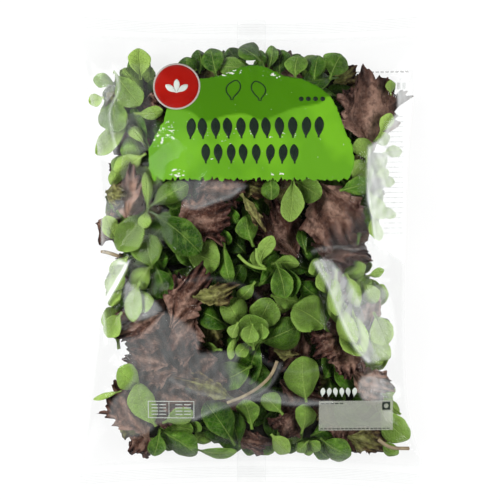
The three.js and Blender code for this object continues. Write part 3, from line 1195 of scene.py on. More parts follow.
# Where the pile of leaves ends inside the bag
PILE_OUTLINE = (
    (-38, 129), (-6, 133), (15, 134), (33, 129), (64, 126), (68, 116), (93, 111),
    (96, 98), (90, 83), (90, 65), (88, 49), (88, 32), (84, 18), (81, 6), (76, -1), (77, -8),
    (86, -12), (88, -32), (92, -52), (92, -66), (83, -74), (93, -88), (98, -98), (105, -121),
    (102, -129), (75, -133), (56, -137), (14, -135), (-6, -135), (-64, -134), (-79, -125),
    (-90, -114), (-90, -99), (-83, -91), (-86, -79), (-71, -74), (-75, -65), (-86, -61),
    (-95, -46), (-96, -32), (-94, -20), (-90, -8), (-96, -1), (-96, 29), (-94, 35), (-89, 42),
    (-88, 53), (-98, 65), (-101, 81), (-97, 94), (-102, 110), (-88, 119), (-84, 132), (-66, 132),
    (-64, 116), (-50, 119),
)


@dataclass(frozen=True)
class Layer:
    """One layer of filling leaves, how much painted shade its leaves get, and how far in from the pile's
    edge it goes.
    """

    cell: float
    depth: tuple[float, float]
    length: tuple[float, float]
    depth_shade: float
    reach: float = 200.0


FRONT_LAYERS = (
    Layer(13.0, (0.8, 5.0), (18, 30), 0.3),
    Layer(9.5, (0.2, 2.0), (12, 19), 0.1, reach=22.0),
    Layer(13.0, (1.0, 6.0), (17, 27), 0.7),
)
BACK_LAYERS = (
    Layer(12.5, (0.0, 1.0), (17, 30), 0.0),
    Layer(9.5, (0.2, 2.0), (12, 19), 0.1, reach=18.0),
    Layer(14.0, (1.0, 4.0), (16, 26), 0.4),
)


@dataclass
class Scatter:
    """Fills a layer of the pile with leaves on a jittered grid."""

    layer: Layer
    rng: np.random.Generator
    red_share: float = 0.16
    olive_share: float = 0.08
    jitter: float = 0.45
    tone_spread: float = 0.28
    lit_edge_band: float = 32.0
    frilled_growth: float = 1.25
    bends: tuple[Sequence[float], Sequence[float]] = ((-3.5, 0, 0, -0.1, 0), (4.5, 5, 4, 0.1, 6.3))
    sides: Point = (-112, 112)
    ends: Point = (-134, 136)
    tones: Point = (-0.85, 0.8)

    def leaves(self) -> list[Leaf]:
        """Draw the layer's leaves in a random order."""
        drawn = [
            self.draw(x, y)
            for y in np.arange(*self.ends, self.layer.cell)
            for x in np.arange(*self.sides, self.layer.cell)
        ]
        kept = [leaf for leaf in drawn if leaf is not None]
        self.rng.shuffle(kept)
        return kept

    def draw(self, x: float, y: float) -> Leaf | None:
        """Draw the leaf of one cell, or none where it would leave the pile.

        Args:
            x: the cell's x.
            y: the cell's y.

        Returns:
            The leaf.
        """
        rng, layer = self.rng, self.layer
        x, y = (x, y) + rng.uniform(-self.jitter, self.jitter, 2) * layer.cell
        length = rng.uniform(*layer.length)
        turn = rng.uniform(0, 2 * math.pi)
        share = rng.uniform()
        # Painted shade for deeper layers, with a random spread of tone
        shade = rng.normal(-layer.depth_shade, self.tone_spread)
        cup, dip, roll, sway, phase = rng.uniform(*self.bends)
        depth = rng.uniform(*layer.depth)
        crook = max(0.0, rng.uniform(-9, 7))
        ratio = rng.uniform(0.55, 0.85)
        reach = np.array((math.cos(turn), math.sin(turn))) * length / 2
        wing = np.array((reach[1], -reach[0])) * ratio
        tried = np.array(((0, 0), reach, -reach, wing, -wing)) + (x, y)
        room = inside_distance(PILE_OUTLINE, tried[:, 0], tried[:, 1])
        if room.min() < 0 or room[0] > layer.reach:
            return None
        # Painted light: fill leaves near the pile's edge are made paler, most at the sides
        side = float(smoothstep(40, 80, np.abs(x)))
        tone = shade + (0.05 + 0.9 * side) * max(0.0, 1 - float(room[0]) / self.lit_edge_band)
        kind = LeafKind.LAMBS
        frilled_share = self.red_share + self.olive_share
        if share < frilled_share:
            kind = LeafKind.RED if share < self.red_share else LeafKind.OLIVE
            length, ratio = length * self.frilled_growth, 0.7
        return Leaf(
            (x - reach[0], y - reach[1]), (x + reach[0], y + reach[1]), length * ratio,
            float(np.clip(tone, *self.tones)), kind, depth, cup, dip, roll, sway, phase,
            crook=crook, folds=1.6 + 1.2 * share / frilled_share, crinkle=0.9,
        )


class NodeGroup(NodeTree):
    """A geometry node tree with named inputs."""

    def __init__(self, name: str, **sockets: str) -> None:
        """Start the tree with its inputs, each given as a name and a kind."""
        super().__init__(bpy.data.node_groups.new(name, "GeometryNodeTree"))
        self.tree.is_modifier = True
        self.keys: dict[str, str] = {}
        face = self.tree.interface
        for key, kind in {"Geometry": "Geometry", **sockets, "Material": "Material"}.items():
            made = face.new_socket(key, in_out="INPUT", socket_type="NodeSocket" + kind)
            self.keys[key] = made.identifier
        face.new_socket("Geometry", in_out="OUTPUT", socket_type="NodeSocketGeometry")
        self.start = self.tree.nodes.new("NodeGroupInput")
        self.end = self.tree.nodes.new("NodeGroupOutput")

    def source(self, given: Any) -> Any:
        """Give what an input takes, where a name stands for the tree's own input."""
        return self.start.outputs[given] if isinstance(given, str) else given

    def close(self, geometry: NodeSocket) -> None:
        """End the tree in Realize Instances and Set Material."""
        real = self.node("GeometryNodeRealizeInstances", None, {0: geometry})
        dressed = self.node(
            "GeometryNodeSetMaterial", None, {"Geometry": real.outputs[0], "Material": "Material"}
        )
        self.tree.links.new(dressed.outputs[0], self.end.inputs[0])

    def apply(self, source: Object, name: str, **inputs: Any) -> Object:
        """Run the tree on an object and keep the result as a plain mesh.

        Args:
            source: the object that the tree starts from; it is removed.
            name: the name of the result.
            inputs: the tree's inputs, by name.

        Returns:
            The new object.
        """
        modifier = source.modifiers.new("shape", "NODES")
        modifier.node_group = self.tree
        for key, given in inputs.items():
            modifier[self.keys[key]] = given
        bpy.context.view_layer.update()
        solved = source.evaluated_get(bpy.context.evaluated_depsgraph_get())
        mesh = bpy.data.meshes.new_from_object(solved)
        mesh.name = name
        source.modifiers.remove(modifier)
        bpy.data.objects.remove(source)
        return add_object(name, mesh)


def repeat_tree() -> NodeGroup:
    """Build the tree that repeats a shape along a straight run, each copy a little turned."""
    group = NodeGroup(
        "repeat_along_run", Count="Int", Start="Vector", Step="Vector", Turn="Vector", Seed="Int"
    )
    run = group.node(
        "GeometryNodeMeshLine",
        {"mode": "OFFSET"},
        {"Count": "Count", "Start Location": "Start", "Offset": "Step"},
    )
    back = group.node("ShaderNodeVectorMath", {"operation": "SCALE"}, {0: "Turn", "Scale": -1.0})
    turn = group.node(
        "FunctionNodeRandomValue",
        {"data_type": "FLOAT_VECTOR"},
        {0: back.outputs[0], 1: "Turn", "Seed": "Seed"},
    )
    copies = group.node(
        "GeometryNodeInstanceOnPoints",
        None,
        {"Points": run.outputs[0], "Instance": "Geometry", "Rotation": turn.outputs[0]},
    )
    group.close(copies.outputs[0])
    return group


def tube_tree() -> NodeGroup:
    """Build the tree that draws a round section along a curve."""
    group = NodeGroup("tube_along_curve", Radius="Float")
    ring = group.node(
        "GeometryNodeCurvePrimitiveCircle", {"mode": "RADIUS"}, {"Resolution": 8, "Radius": "Radius"}
    )
    tube = group.node(
        "GeometryNodeCurveToMesh",
        None,
        {"Curve": "Geometry", "Profile Curve": ring.outputs[0], "Fill Caps": True},
    )
    group.close(tube.outputs[0])
    return group


@dataclass(frozen=True)
class Stalk:
    """A bare stalk or midrib that lies on the leaves: its route in plan and its radius."""

    name: str
    route: tuple[Point, ...]
    radius: float
    pink: bool


STALKS = (
    Stalk("stalk_long", ((18, -71), (14, -80), (6, -88), (-4, -94), (-14, -98)), 1.05, True),
    Stalk("stalk_left", ((-95, -1), (-90, -2), (-84, -4)), 1.2, True),
    Stalk("stalk_corner", ((84, -123), (92, -128), (104, -129)), 1.2, True),
    Stalk("stalk_node_up", ((10, -11), (7, -9), (5, -5), (5, 1)), 1.0, False),
    Stalk("stalk_node_left", ((11, -12), (4, -11), (-2, -8), (-7, -3)), 1.0, False),
)


@dataclass(frozen=True)
class Veil:
    """A field in plan that marks a painted reflection or worn ink: its outline in millimetres, its strength
    and its soft edge.
    """

    outline: tuple[Point, ...]
    strength: float
    soft: float = 1.3

    def over(self, x: Array, y: Array) -> Array:
        """Give the veil's strength at plan positions."""
        loop = [tuple(point) for point in smooth_loop(self.outline)]
        return self.strength * smoothstep(-self.soft, self.soft, inside_distance(loop, x, y))


def edges_of(outline: Outline) -> Iterable[tuple[Point, Point]]:
    """Give the edges of a closed outline."""
    return zip(outline, (*outline[1:], outline[0]))


def line_distance(start: Point, end: Point, x: Array, y: Array) -> Array:
    """Give the distance from plan positions to a straight stretch between two points."""
    dx, dy = end[0] - start[0], end[1] - start[1]
    off_x, off_y = x - start[0], y - start[1]
    share = np.clip((off_x * dx + off_y * dy) / max(dx * dx + dy * dy, 1e-9), 0, 1)
    return np.hypot(off_x - share * dx, off_y - share * dy)


def inside_distance(outline: Outline, x: Array, y: Array) -> Array:
    """Give the distance to an outline, positive inside it.

    Args:
        outline: the corners.
        x: positions.
        y: positions.

    Returns:
        The signed distances.
    """
    nearest = np.full(np.shape(x), np.inf)
    within = np.zeros(np.shape(x), bool)
    for start, end in edges_of(outline):
        nearest = np.minimum(nearest, line_distance(start, end, x, y))
        dx, dy = end[0] - start[0], end[1] - start[1]
        level = dx * (y - start[1]) / (dy if dy else 1e-9) + start[0]
        within ^= ((start[1] > y) != (end[1] > y)) & (x < level)
    return np.where(within, nearest, -nearest)


# Painted reflections of the lamps in the upper film: milky fields that whiten what lies under them
PAINTED_REFLECTIONS = (
    # down the right side, beside the print
    Veil(
        ((77, 65), (77, 49), (76, 32), (79, 23), (81, 6), (88, 0), (105, 0), (105, 107),
         (96, 105), (96, 91), (90, 81), (85, 72)),
        0.42,
    ),
    # bright crescent at the right of the middle, and the paler field outside it
    Veil(
        ((42, -8), (48, -18), (53, -29), (57, -40), (62, -52), (70, -64), (76, -72), (85, -70),
         (80, -62), (76, -52), (73, -42), (71, -32), (66, -23), (58, -13), (50, -6)),
        0.27,
    ),
    Veil(
        ((71, -32), (76, -52), (80, -62), (88, -70), (94, -66), (94, -42), (89, -26), (80, -23)),
        0.2,
    ),
    # upper left
    Veil(
        ((-89, 117), (-85, 120), (-84, 110), (-88, 101), (-92, 92), (-91, 81), (-89, 70), (-85, 62),
         (-90, 57), (-98, 62), (-102, 78), (-106, 98), (-103, 112)),
        0.14,
    ),
    Veil(
        ((-85, 120), (-58, 117), (-64, 98), (-58, 75), (-64, 65), (-84, 58), (-89, 70), (-92, 92),
         (-84, 110)),
        0.03,
    ),
    # left of the middle: a folded strip, a pale triangle and a bright fold line
    Veil(
        ((-96, 29), (-89, 31), (-81, 32), (-81, 23), (-88, 18), (-90, 6), (-85, 2), (-94, -6), (-96, 0)),
        0.12,
    ),
    Veil(((-94, -8), (-79, -9), (-92, -34), (-96, -32)), 0.26),
    Veil(((-79, -21), (-71, -26), (-56, -38), (-71, -45), (-79, -40)), 0.17),
    Veil(((-79, -9), (-78, -11), (-95, -39), (-97, -38)), 0.45, 0.8),
    # lower left, with its curved lower edge
    Veil(
        ((-83, -58), (-71, -55), (-61, -47), (-54, -40), (-38, -49), (-32, -58), (-32, -66),
         (-18, -65), (-6, -66), (-8, -75), (8, -87), (27, -94), (46, -97), (53, -98), (30, -99),
         (8, -96), (-14, -99), (-35, -109), (-58, -112), (-64, -117), (-79, -122), (-89, -114),
         (-89, -99), (-81, -91), (-74, -79), (-81, -68)),
        0.085, 1.6,
    ),
    # under the print
    Veil(((-46, 44), (-8, 43), (-3, 39), (-18, 32), (-32, 27), (-38, 28), (-46, 35)), 0.08),
    # lower right
    Veil(((73, -81), (95, -86), (97, -96), (73, -96)), 0.2),
)


@dataclass(frozen=True)
class Wrinkle:
    """A fine ridge in the film: its route in millimetres, its height and how strongly a painted highlight
    whitens it.
    """

    route: tuple[Point, ...]
    height: float
    whitening: float
    width: float = 1.1

    def over(self, x: Array, y: Array) -> Array:
        """Give the ridge's share at plan positions, from 0 to 1."""
        route = smooth_route(self.route)
        distances = [line_distance(start, end, x, y) for start, end in zip(route, route[1:])]
        return np.exp(-((np.minimum.reduce(distances) / self.width) ** 2))


# Ridges in the film; the whitening along each is a painted highlight
WRINKLES = (
    Wrinkle(((41, -1), (47, 1), (58, 2), (67, 0), (75, 3)), 0.6, 0.08),
    Wrinkle(((-41, 28), (-32, 27), (-22, 31), (-12, 34), (-6, 39)), 0.8, 0.1),
    Wrinkle(((-35, -109), (-22, -103), (-6, -98), (8, -96), (30, -99), (53, -98)), 0.9, 0.1),
    Wrinkle(((-50, -83), (-38, -90), (-22, -94), (-6, -96), (7, -92), (15, -84), (20, -73)), 1.0, 0.07),
    Wrinkle(((-84, -8), (-79, -10), (-87, -26), (-95, -39)), 1.2, 0.35),
    Wrinkle(((-99, 29), (-98, 4), (-95, -32), (-92, -60)), 1.0, 0.3),
    Wrinkle(((-88, 120), (-84, 104), (-90, 88), (-86, 66)), 0.8, 0.2),
    Wrinkle(((77, 66), (76, 40), (79, 20), (81, 4)), 0.8, 0.25),
    Wrinkle(((42, -8), (50, -22), (58, -42), (68, -62), (77, -72)), 0.9, 0.2),
    Wrinkle(((-56, 137), (-32, 134), (-6, 136), (20, 136), (34, 135), (62, 137)), 0.8, 0.1),
    Wrinkle(((-3, -60), (12, -72), (30, -78), (46, -76)), 0.6, 0.025),
    Wrinkle(((-40, -20), (-22, -18), (-2, -24), (12, -36)), 0.5, 0.025),
)


@dataclass
class Film:
    """The clear film: one closed skin with its seals, wrinkles, and milky fields that are painted
    reflections.
    """

    shape: BagShape
    shown: Sequence[Leaf]
    columns: int = 190
    body_rows: int = 236
    seal_rows: int = 12
    press: float = 1.2
    crease: float = 0.55
    crease_waves: tuple[tuple[float, float], ...] = ((46, 1.0), (31, 0.8), (21, 0.6), (14, 0.4))
    end_pleat: float = 0.55
    side_pleat: float = 0.7
    streak: float = 0.22
    seal_milk: float = 0.05
    rim_milk: float = 0.1
    start_milk: float = 0.1
    start_width: float = 0.012
    skin: float = 0.2
    floor_skin: float = 0.02
    ripple: float = 0.25

    def __post_init__(self) -> None:
        """Work out where leaves press on the upper film, and its height map."""
        pressed = HeightMap.over(*self.shape.map_size, lambda x, y: np.zeros_like(x))
        for leaf in self.shown:
            _, _, x, y = leaf.grid(round(leaf.length), round(leaf.width))
            pressed.lower_to(x, y, np.full(x.shape, -1.0))
        for axis in (0, 1, 0, 1):
            pressed.values = spread(pressed.values, 2, axis, mean_of)
        self.pressed = pressed
        self.map = HeightMap.over(*self.shape.map_size, self.upper_at)

    def creases(self, x: Array, y: Array) -> Array:
        """Give the sharp-backed wrinkles of stretched film."""
        total = np.zeros(np.shape(x))
        rng = np.random.default_rng(SEED)
        for wave, lift in self.crease_waves:
            for _ in range(2):
                turn, phase, bend = rng.uniform((0, 0, 0), (math.pi, 6.3, 6.3))
                along = x * math.cos(turn) + y * math.sin(turn)
                across = y * math.cos(turn) - x * math.sin(turn)
                sweep = along + 9 * np.sin(across / 37 + bend)
                total += lift * (1 - 2 * np.abs(np.sin(np.pi * sweep / wave + phase)) ** 0.8)
        return total / len(self.crease_waves)

    def relief(self, u: Array, s: Array, x: Array, y: Array) -> Array:
        """Give the fine relief of the upper film, which fades out at its edges."""
        fade = smoothstep(0, 0.12, 1 - np.abs(u)) * smoothstep(0, 0.04, 1 - np.abs(s))
        ends = smoothstep(0.72, 0.98, np.abs(s))
        pleats = np.sin(x * 0.62 + 2.2 * np.sin(y * 0.06 + x * 0.05)) * self.end_pleat * ends
        wave = np.sin(y * 0.33 + 2 * np.sin(y * 0.051))
        sides = smoothstep(0.7, 0.95, np.abs(u)) * wave * self.side_pleat
        fine = self.crease * self.creases(x, y) + sum(w.height * w.over(x, y) for w in WRINKLES)
        return fade * (fine + pleats + sides - self.press * self.pressed.at(x, y))

    def upper_at(self, x: Array, y: Array) -> Array:
        """Give the height of the upper film over a plan position."""
        u, s = self.shape.coordinates(x, y)
        return self.shape.upper(u, s) + self.relief(u, s, x, y)

    def lower_at(self, x: Array, y: Array) -> Array:
        """Give the height of the lower film over a plan position."""
        return self.shape.lower(*self.shape.coordinates(x, y))

    def sealed(self, s: Array) -> Array:
        """Give how milky the two welded films are, which starts at the seal's inner line."""
        return smoothstep(0.0, 0.1, np.abs(s) - 1) * self.seal_milk

    def haze(self, u: Array, s: Array, x: Array, y: Array) -> Array:
        """Give how milky the upper film is: painted reflections of the lamps, painted highlights along the
        wrinkles, and the milk of its seals, its rim and the seals' inner lines.
        """
        wave = np.sin(x * 0.9 + 4 * np.sin(y * 0.11)) * np.sin(y * 0.23 + x * 0.31)
        # Painted reflections of the lamps, a little streaked
        reflections = sum(reflection.over(x, y) for reflection in PAINTED_REFLECTIONS) * (1 + self.streak * wave)
        # Painted highlights along the wrinkles
        reflections += sum(wrinkle.whitening * wrinkle.over(x, y) for wrinkle in WRINKLES)
        rim = smoothstep(0.965, 0.995, np.abs(u)) * self.rim_milk
        start = np.exp(-(((np.abs(s) - 1.0) / self.start_width) ** 2)) * self.start_milk
        return reflections + self.sealed(s) + rim + start

    def build(self, finish: Material) -> Object:
        """Build the skin.

        Args:
            finish: the film's material.

        Returns:
            The closed skin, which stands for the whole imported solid.
        """
        body = np.sin(np.linspace(-1, 1, self.body_rows) * 1.1) / math.sin(1.1)
        seal = np.linspace(1, 2, self.seal_rows + 1)[1:]
        s = np.concatenate([-seal[::-1], body, seal])[:, None] + np.zeros(self.columns + 1)
        u = np.sin(np.linspace(-1, 1, self.columns + 1) * 1.2) / math.sin(1.2) + np.zeros((len(s), 1))
        x, y = self.shape.plan(u, s)
        ripple = self.ripple * np.sin(x * 0.9 + 3 * np.sin(y * 0.3)) * (1 - np.abs(u))
        high = self.shape.upper(u, s) + self.relief(u, s, x, y) + self.skin
        high += np.where(np.abs(s) > 1, ripple, 0)
        under = np.maximum(self.shape.lower(u, s) - self.skin, self.floor_skin)
        low = np.where(np.abs(s) < 1, under, high - 2 * self.skin)
        low = np.minimum(low, high - self.skin)
        points, faces = slab(x, y, high, low)
        haze = np.concatenate([self.haze(u, s, x, y).ravel(), self.sealed(s).ravel()])
        skin = Mesher()
        skin.add(points, faces, haze=haze)
        return skin.build(FILM_SLOT, finish)


def between(start: Point, end: Point, steps: int) -> list[Point]:
    """Give evenly spread points from start up to the one before end."""
    (ax, ay), (bx, by) = start, end
    return [(ax + (bx - ax) * k / steps, ay + (by - ay) * k / steps) for k in range(steps)]


def divided(outline: Outline, spacing: float) -> list[Point]:
    """Give a closed outline with points no further apart than the spacing."""
    points: list[Point] = []
    for start, end in edges_of(outline):
        points += between(start, end, max(1, math.ceil(math.dist(start, end) / spacing)))
    return points


def filled(
    outline: Outline,
    spacing: float,
    holes: Sequence[Outline] = (),
    **numbers: Callable[[Array, Array], Array],
) -> Mesher:
    """Fill a flat outline with evenly spread triangles.

    Args:
        outline: the corners.
        spacing: how far apart the inner points are.
        holes: outlines that stay open.
        numbers: gives further numbers at plan positions, by attribute name.

    Returns:
        The flat shape at a height of 0.
    """
    loops = [divided(loop, spacing) for loop in (outline, *holes)]
    corners, edges = [], []
    for loop in loops:
        first = len(corners)
        corners += loop
        edges += [(first + k, first + (k + 1) % len(loop)) for k in range(len(loop))]
    low, high = np.min(outline, 0), np.max(outline, 0)
    x, y = np.meshgrid(*[np.arange(a + spacing / 2, b, spacing) for a, b in zip(low, high)])
    room = inside_distance(outline, x, y)
    for hole in holes:
        room = np.minimum(room, -inside_distance(hole, x, y))
    keep = room > spacing * 0.4
    corners += list(zip(x[keep], y[keep]))
    solved = delaunay_2d_cdt([Vector(corner) for corner in corners], edges, [], 1, 1e-5)
    points = np.array([(p.x, p.y, 0.0) for p in solved[0]])
    faces = np.array([tuple(face) for face in solved[2]])
    middles = points[faces].mean(1)
    for hole in holes:
        faces = faces[inside_distance(hole, middles[:, 0], middles[:, 1]) < 0]
        middles = points[faces].mean(1)
    a, b, c = (points[faces[:, k], :2] for k in range(3))
    turned = np.cross(b - a, c - a) < 0
    faces[turned] = faces[turned][:, ::-1]
    shape = Mesher()
    fields = {name: field_of(points[:, 0], points[:, 1]) for name, field_of in numbers.items()}
    shape.add(points, faces, **fields)
    return shape


# The part of the green print that looks lighter, where a reflection of the lamps in the film is painted on
# the ink
PAINTED_PRINT_REFLECTION = Veil(
    ((-70, 90), (-55, 90), (-38, 89), (-28, 82), (-15, 86), (-2, 87), (8, 83), (19, 87), (29, 91),
     (45, 94), (52, 99), (72, 99), (72, 40), (-70, 40)),
    1.0, 0.8,
)
# Where its ink is worn off in flecks
WORN_PRINT = (
    Veil(((-64, 67), (-60, 80), (-48, 82), (-46, 70), (-53, 66)), 0.95, 3.0),
    Veil(((-61, 63), (-44, 63), (-44, 56), (-61, 56)), 0.6, 2.0),
    Veil(((-34, 82), (-12, 83), (-12, 70), (-34, 70)), 0.45, 3.0),
    Veil(((-24, 114), (-24, 111), (-3, 113), (-3, 117)), 1.0, 1.0),
    Veil(((6, 116), (6, 113), (20, 110), (21, 113)), 0.9, 1.0),
    Veil(((-49, 53), (-42, 52), (-40, 47), (-49, 46)), 1.0, 1.6),
    Veil(((14, 50), (22, 50), (22, 48), (14, 48)), 1.0, 0.8),
    Veil(((-12, 76), (-4, 78), (30, 75), (30, 73), (-4, 72)), 0.6, 2.0),
)


def spoon_outline(length: float, width: float, lean: float = 0.0, steps: int = 11) -> list[Point]:
    """Give the outline of a small spoon-shaped leaf that stands on the origin.

    Args:
        length: along Y.
        width: across X.
        lean: how far the tip leans to the right.
        steps: points on each side.

    Returns:
        The outline.
    """
    leaf = Leaf((0, 0), (0, length), width)
    t = np.linspace(0, 1, steps)
    half = leaf.half_width(t)
    middle = lean * t * t
    right = list(zip(middle + half, t * length))
    left = list(zip(middle - half, t * length))
    return right + left[::-1]


def stroke_loop(outline: Outline, width: float) -> tuple[list[Point], list[Point]]:
    """Give the outer and inner outline of a line drawn along a closed shape."""
    points = np.array(outline)
    before, after = np.roll(points, 1, 0), np.roll(points, -1, 0)
    side = np.stack([(after - before)[:, 1], -(after - before)[:, 0]], 1)
    side /= np.maximum(np.linalg.norm(side, axis=1, keepdims=True), 1e-9)
    outer, inner = points + side * width / 2, points - side * width / 2
    return [tuple(p) for p in outer], [tuple(p) for p in inner]


def rectangle(left: float, bottom: float, right: float, top: float) -> list[Point]:
    """Give a rectangle's corners."""
    return [(left, bottom), (right, bottom), (right, top), (left, top)]


def disc(x: float, y: float, radius: float, steps: int = 48) -> list[Point]:
    """Give a circle's points."""
    turns = np.linspace(0, 2 * math.pi, steps, endpoint=False)
    return [(x + radius * math.cos(a), y + radius * math.sin(a)) for a in turns]


@dataclass
class Printing:
    """Prints on the inside of the upper film, each a thin patch that follows it."""

    film: Film
    repeat: NodeGroup
    inks: dict[str, Material]
    thickness: float = 0.04
    field_depth: float = 0.3
    badge_depth: float = 0.22
    line_depth: float = 0.2
    mark_depth: float = 0.14
    sprig_depth: float = 0.12

    def drape(self, piece: Object, depth: float, upper: bool = True) -> Object:
        """Lay a flat piece inside the upper or the lower film, at a depth from it, and give it back."""
        mesh = piece.data
        points = np.empty(len(mesh.vertices) * 3, np.float32)
        mesh.vertices.foreach_get("co", points)
        points = points.reshape(-1, 3).astype(float)
        x, y = points[:, 0] / MM, points[:, 1] / MM
        height = self.film.map.at(x, y) - depth if upper else self.film.lower_at(x, y) + depth
        points[:, 2] += height * MM
        mesh.vertices.foreach_set("co", points.astype(np.float32).ravel())
        solid = piece.modifiers.new("thickness", "SOLIDIFY")
        solid.thickness = self.thickness * MM
        solid.offset = -1.0
        mesh.update()
        return piece

    def patch(self, name: str, ink: str, outline: Outline, depth: float, **parts: Any) -> None:
        """Print one filled shape inside the film; parts are what the filling takes."""
        shape = filled(outline, **{"spacing": 1.6, **parts})
        piece = self.drape(shape.build(name, self.inks[ink]), depth)
        settle(piece)

    def run(
        self,
        name: str,
        ink: str,
        mark: Outline,
        start: Point,
        step: Point,
        count: int,
        turn: float = 0.0,
        seed: int = 0,
        upper: bool = True,
    ) -> None:
        """Print a run of like marks.

        Args:
            name: the piece's name.
            ink: the ink and slot.
            mark: one mark's outline round the origin.
            start: the first mark's place.
            step: from one mark to the next.
            count: how many marks.
            turn: the most that a mark is turned, in radians.
            seed: draws the turns.
            upper: whether they are on the upper film, or deeper on the lower one.
        """
        source = filled(mark, 1.3).build(name + "_mark", self.inks[ink])
        piece = self.repeat.apply(
            source,
            name,
            Count=count,
            Start=(start[0] * MM, start[1] * MM, 0.0),
            Step=(step[0] * MM, step[1] * MM, 0.0),
            Turn=(0.0, 0.0, turn),
            Seed=seed,
            Material=self.inks[ink],
        )
        depth = self.mark_depth if upper else self.field_depth
        settle(self.drape(piece, depth, upper))

    def green_field(self) -> None:
        """Print the green field, a brushed dome with a ragged lower edge."""
        rng = np.random.default_rng(SEED + 1)
        dome = (
            (-61, 44), (-63.5, 51), (-64.4, 58), (-64.2, 65), (-60, 73), (-55, 82), (-52.6, 91),
            (-46, 101), (-40, 107), (-32, 110), (-18, 112.4), (-6, 118), (4.5, 119.6), (14, 117),
            (21, 112.5), (34, 110), (45, 105), (52, 99), (56, 92), (61, 78), (66.3, 66), (67.6, 57),
            (66.3, 51), (63.7, 44.8),
        )
        level, tuft = 44.6, 1.7
        ragged = [
            (float(x), level + float(rng.normal(0, 0.65)) + tuft * float(rng.uniform() < 0.14))
            for x in np.arange(63, -61, -0.9)
        ]
        outline: list[Point] = []
        for start, end in zip(dome, dome[1:]):
            for x, y in between(start, end, max(1, round(math.dist(start, end) / 1.5))):
                jitter = rng.normal(0, 0.22, 2)
                outline.append((x + jitter[0], y + jitter[1]))
        self.patch(
            "print_green_field",
            "green_ink",
            outline + ragged,
            self.field_depth,
            spacing=1.2,
            # the painted reflection of the lamps on the ink
            lit=PAINTED_PRINT_REFLECTION.over,
            worn=lambda x, y: sum(zone.over(x, y) for zone in WORN_PRINT),
        )

    def badge(self) -> None:
        """Print the plain round badge with its pale rim and a small sprig."""
        x, y, radius, rim = -46.5, 105.3, 15.3, 1.1
        depth, field_edge = self.badge_depth, disc(x, y, radius - rim)
        self.patch("print_badge_rim", "pale_ink", disc(x, y, radius), depth, holes=[field_edge])
        self.patch("print_badge", "red_ink", field_edge, depth)
        foot = y - 4.2
        for k, turn in enumerate((-0.95, 0.0, 0.95)):
            cos, sin = math.cos(turn), math.sin(turn)
            leaf = [
                (x + px * cos + py * sin, foot - px * sin + py * cos)
                for px, py in spoon_outline(8.8, 3.9)
            ]
            name = f"print_badge_leaf_{k + 1}"
            self.patch(name, "white_ink", leaf, self.sprig_depth, spacing=1.2)

    def title(self) -> None:
        """Print two rows of small leaves in the place of the title, and the two drawn leaves."""
        upper, lower = spoon_outline(13.5, 6.0), spoon_outline(12.5, 5.6)
        turn, line = 0.12, 0.7
        self.run("print_row_upper", "dark_ink", upper, (-37.5, 70.8), (8.2, 0.12), 11, turn, seed=3)
        self.run("print_row_lower", "dark_ink", lower, (-27.5, 55.2), (8.1, 0.0), 8, turn, seed=8)
        for k, (x, y, lean) in enumerate(((-11, 96.5, 2.5), (7, 96.0, -2.5))):
            outline = [(x + px, y + py) for px, py in spoon_outline(12.5, 9.0, lean)]
            outer, inner = stroke_loop(outline, line)
            name = f"print_drawn_leaf_{k + 1}"
            self.patch(name, "dark_ink", outer, self.mark_depth, holes=[inner], spacing=1.0)
        self.run("print_dots", "dark_ink", disc(0, 0, 1.5, 18), (33.5, 97), (4.6, 0.0), 4)

    def table(self) -> None:
        """Print the thin white table at the lower left."""
        left, right, bottom, top, line = -65.0, -35.1, -108.2, -96.9, 0.55
        hole = rectangle(left + line, bottom + line, right - line, top - line)
        edge = rectangle(left, bottom, right, top)
        depth = self.line_depth
        self.patch("print_table_frame", "table_ink", edge, depth, holes=[hole], spacing=1.4)
        divider = rectangle(-51.6, bottom + line, -51.2, top - line)
        self.patch("print_table_divider", "table_ink", divider, depth)
        dash = rectangle(-2.2, -0.3, 2.2, 0.3)
        for column, x in enumerate((-60.5, -55.4, -45.0, -39.5)):
            name = f"print_table_lines_{column + 1}"
            self.run(name, "table_ink", dash, (x, top - 2.4), (0, -2.1), 4)

    def panel(self) -> None:
        """Print the row of drops at the lower right and the pale panel under it, with its marks."""
        size = 0.62
        drop = [(px * size, py * size - 2.9) for px, py in spoon_outline(9.4, 5.0)]
        dash, fine = rectangle(-1.1, -0.25, 1.1, 0.25), rectangle(-1.0, -0.22, 1.0, 0.22)
        self.run("print_drops", "white_ink", drop, (47.3, -91.3), (4.1, 0), 6, 0.15, seed=5)
        field = rectangle(44.9, -116.4, 93.0, -96.9)
        self.patch("print_panel", "panel_ink", field, self.field_depth)
        self.run("print_panel_dashes", "dark_ink", dash, (47.4, -98.6), (3.0, 0), 5)
        self.run("print_panel_foot", "dark_ink", fine, (46.8, -115.2), (2.7, 0), 17)
        mark, eye = rectangle(86.0, -103.2, 91.2, -97.8), disc(88.6, -100.5, 1.6, 20)
        self.patch("print_panel_mark", "dark_ink", mark, self.mark_depth, holes=[eye])

    def back_marks(self) -> None:
        """Print the faint lines that show through from the back film."""
        for name, half_x, half_y, start, step, count in (
            ("lines", 6.5, 0.3, (94.0, 11.0), (0, 3.3), 24),
            ("words", 1.1, 0.5, (71.0, 116.3), (3.2, 0), 11),
            ("heads", 1.1, 2.2, (94.5, 107.0), (3.2, 0), 3),
        ):
            mark = rectangle(-half_x, -half_y, half_x, half_y)
            self.run("print_back_" + name, "faint_ink", mark, start, step, count, upper=False)

    def build(self) -> None:
        """Print everything."""
        self.green_field()
        self.badge()
        self.title()
        self.table()
        self.panel()
        self.back_marks()


def settle(piece: Object) -> None:
    """Let a finished piece ride on the bag."""
    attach(piece, BODY)
    log.info("%s: %d faces", piece.name, len(piece.data.polygons))


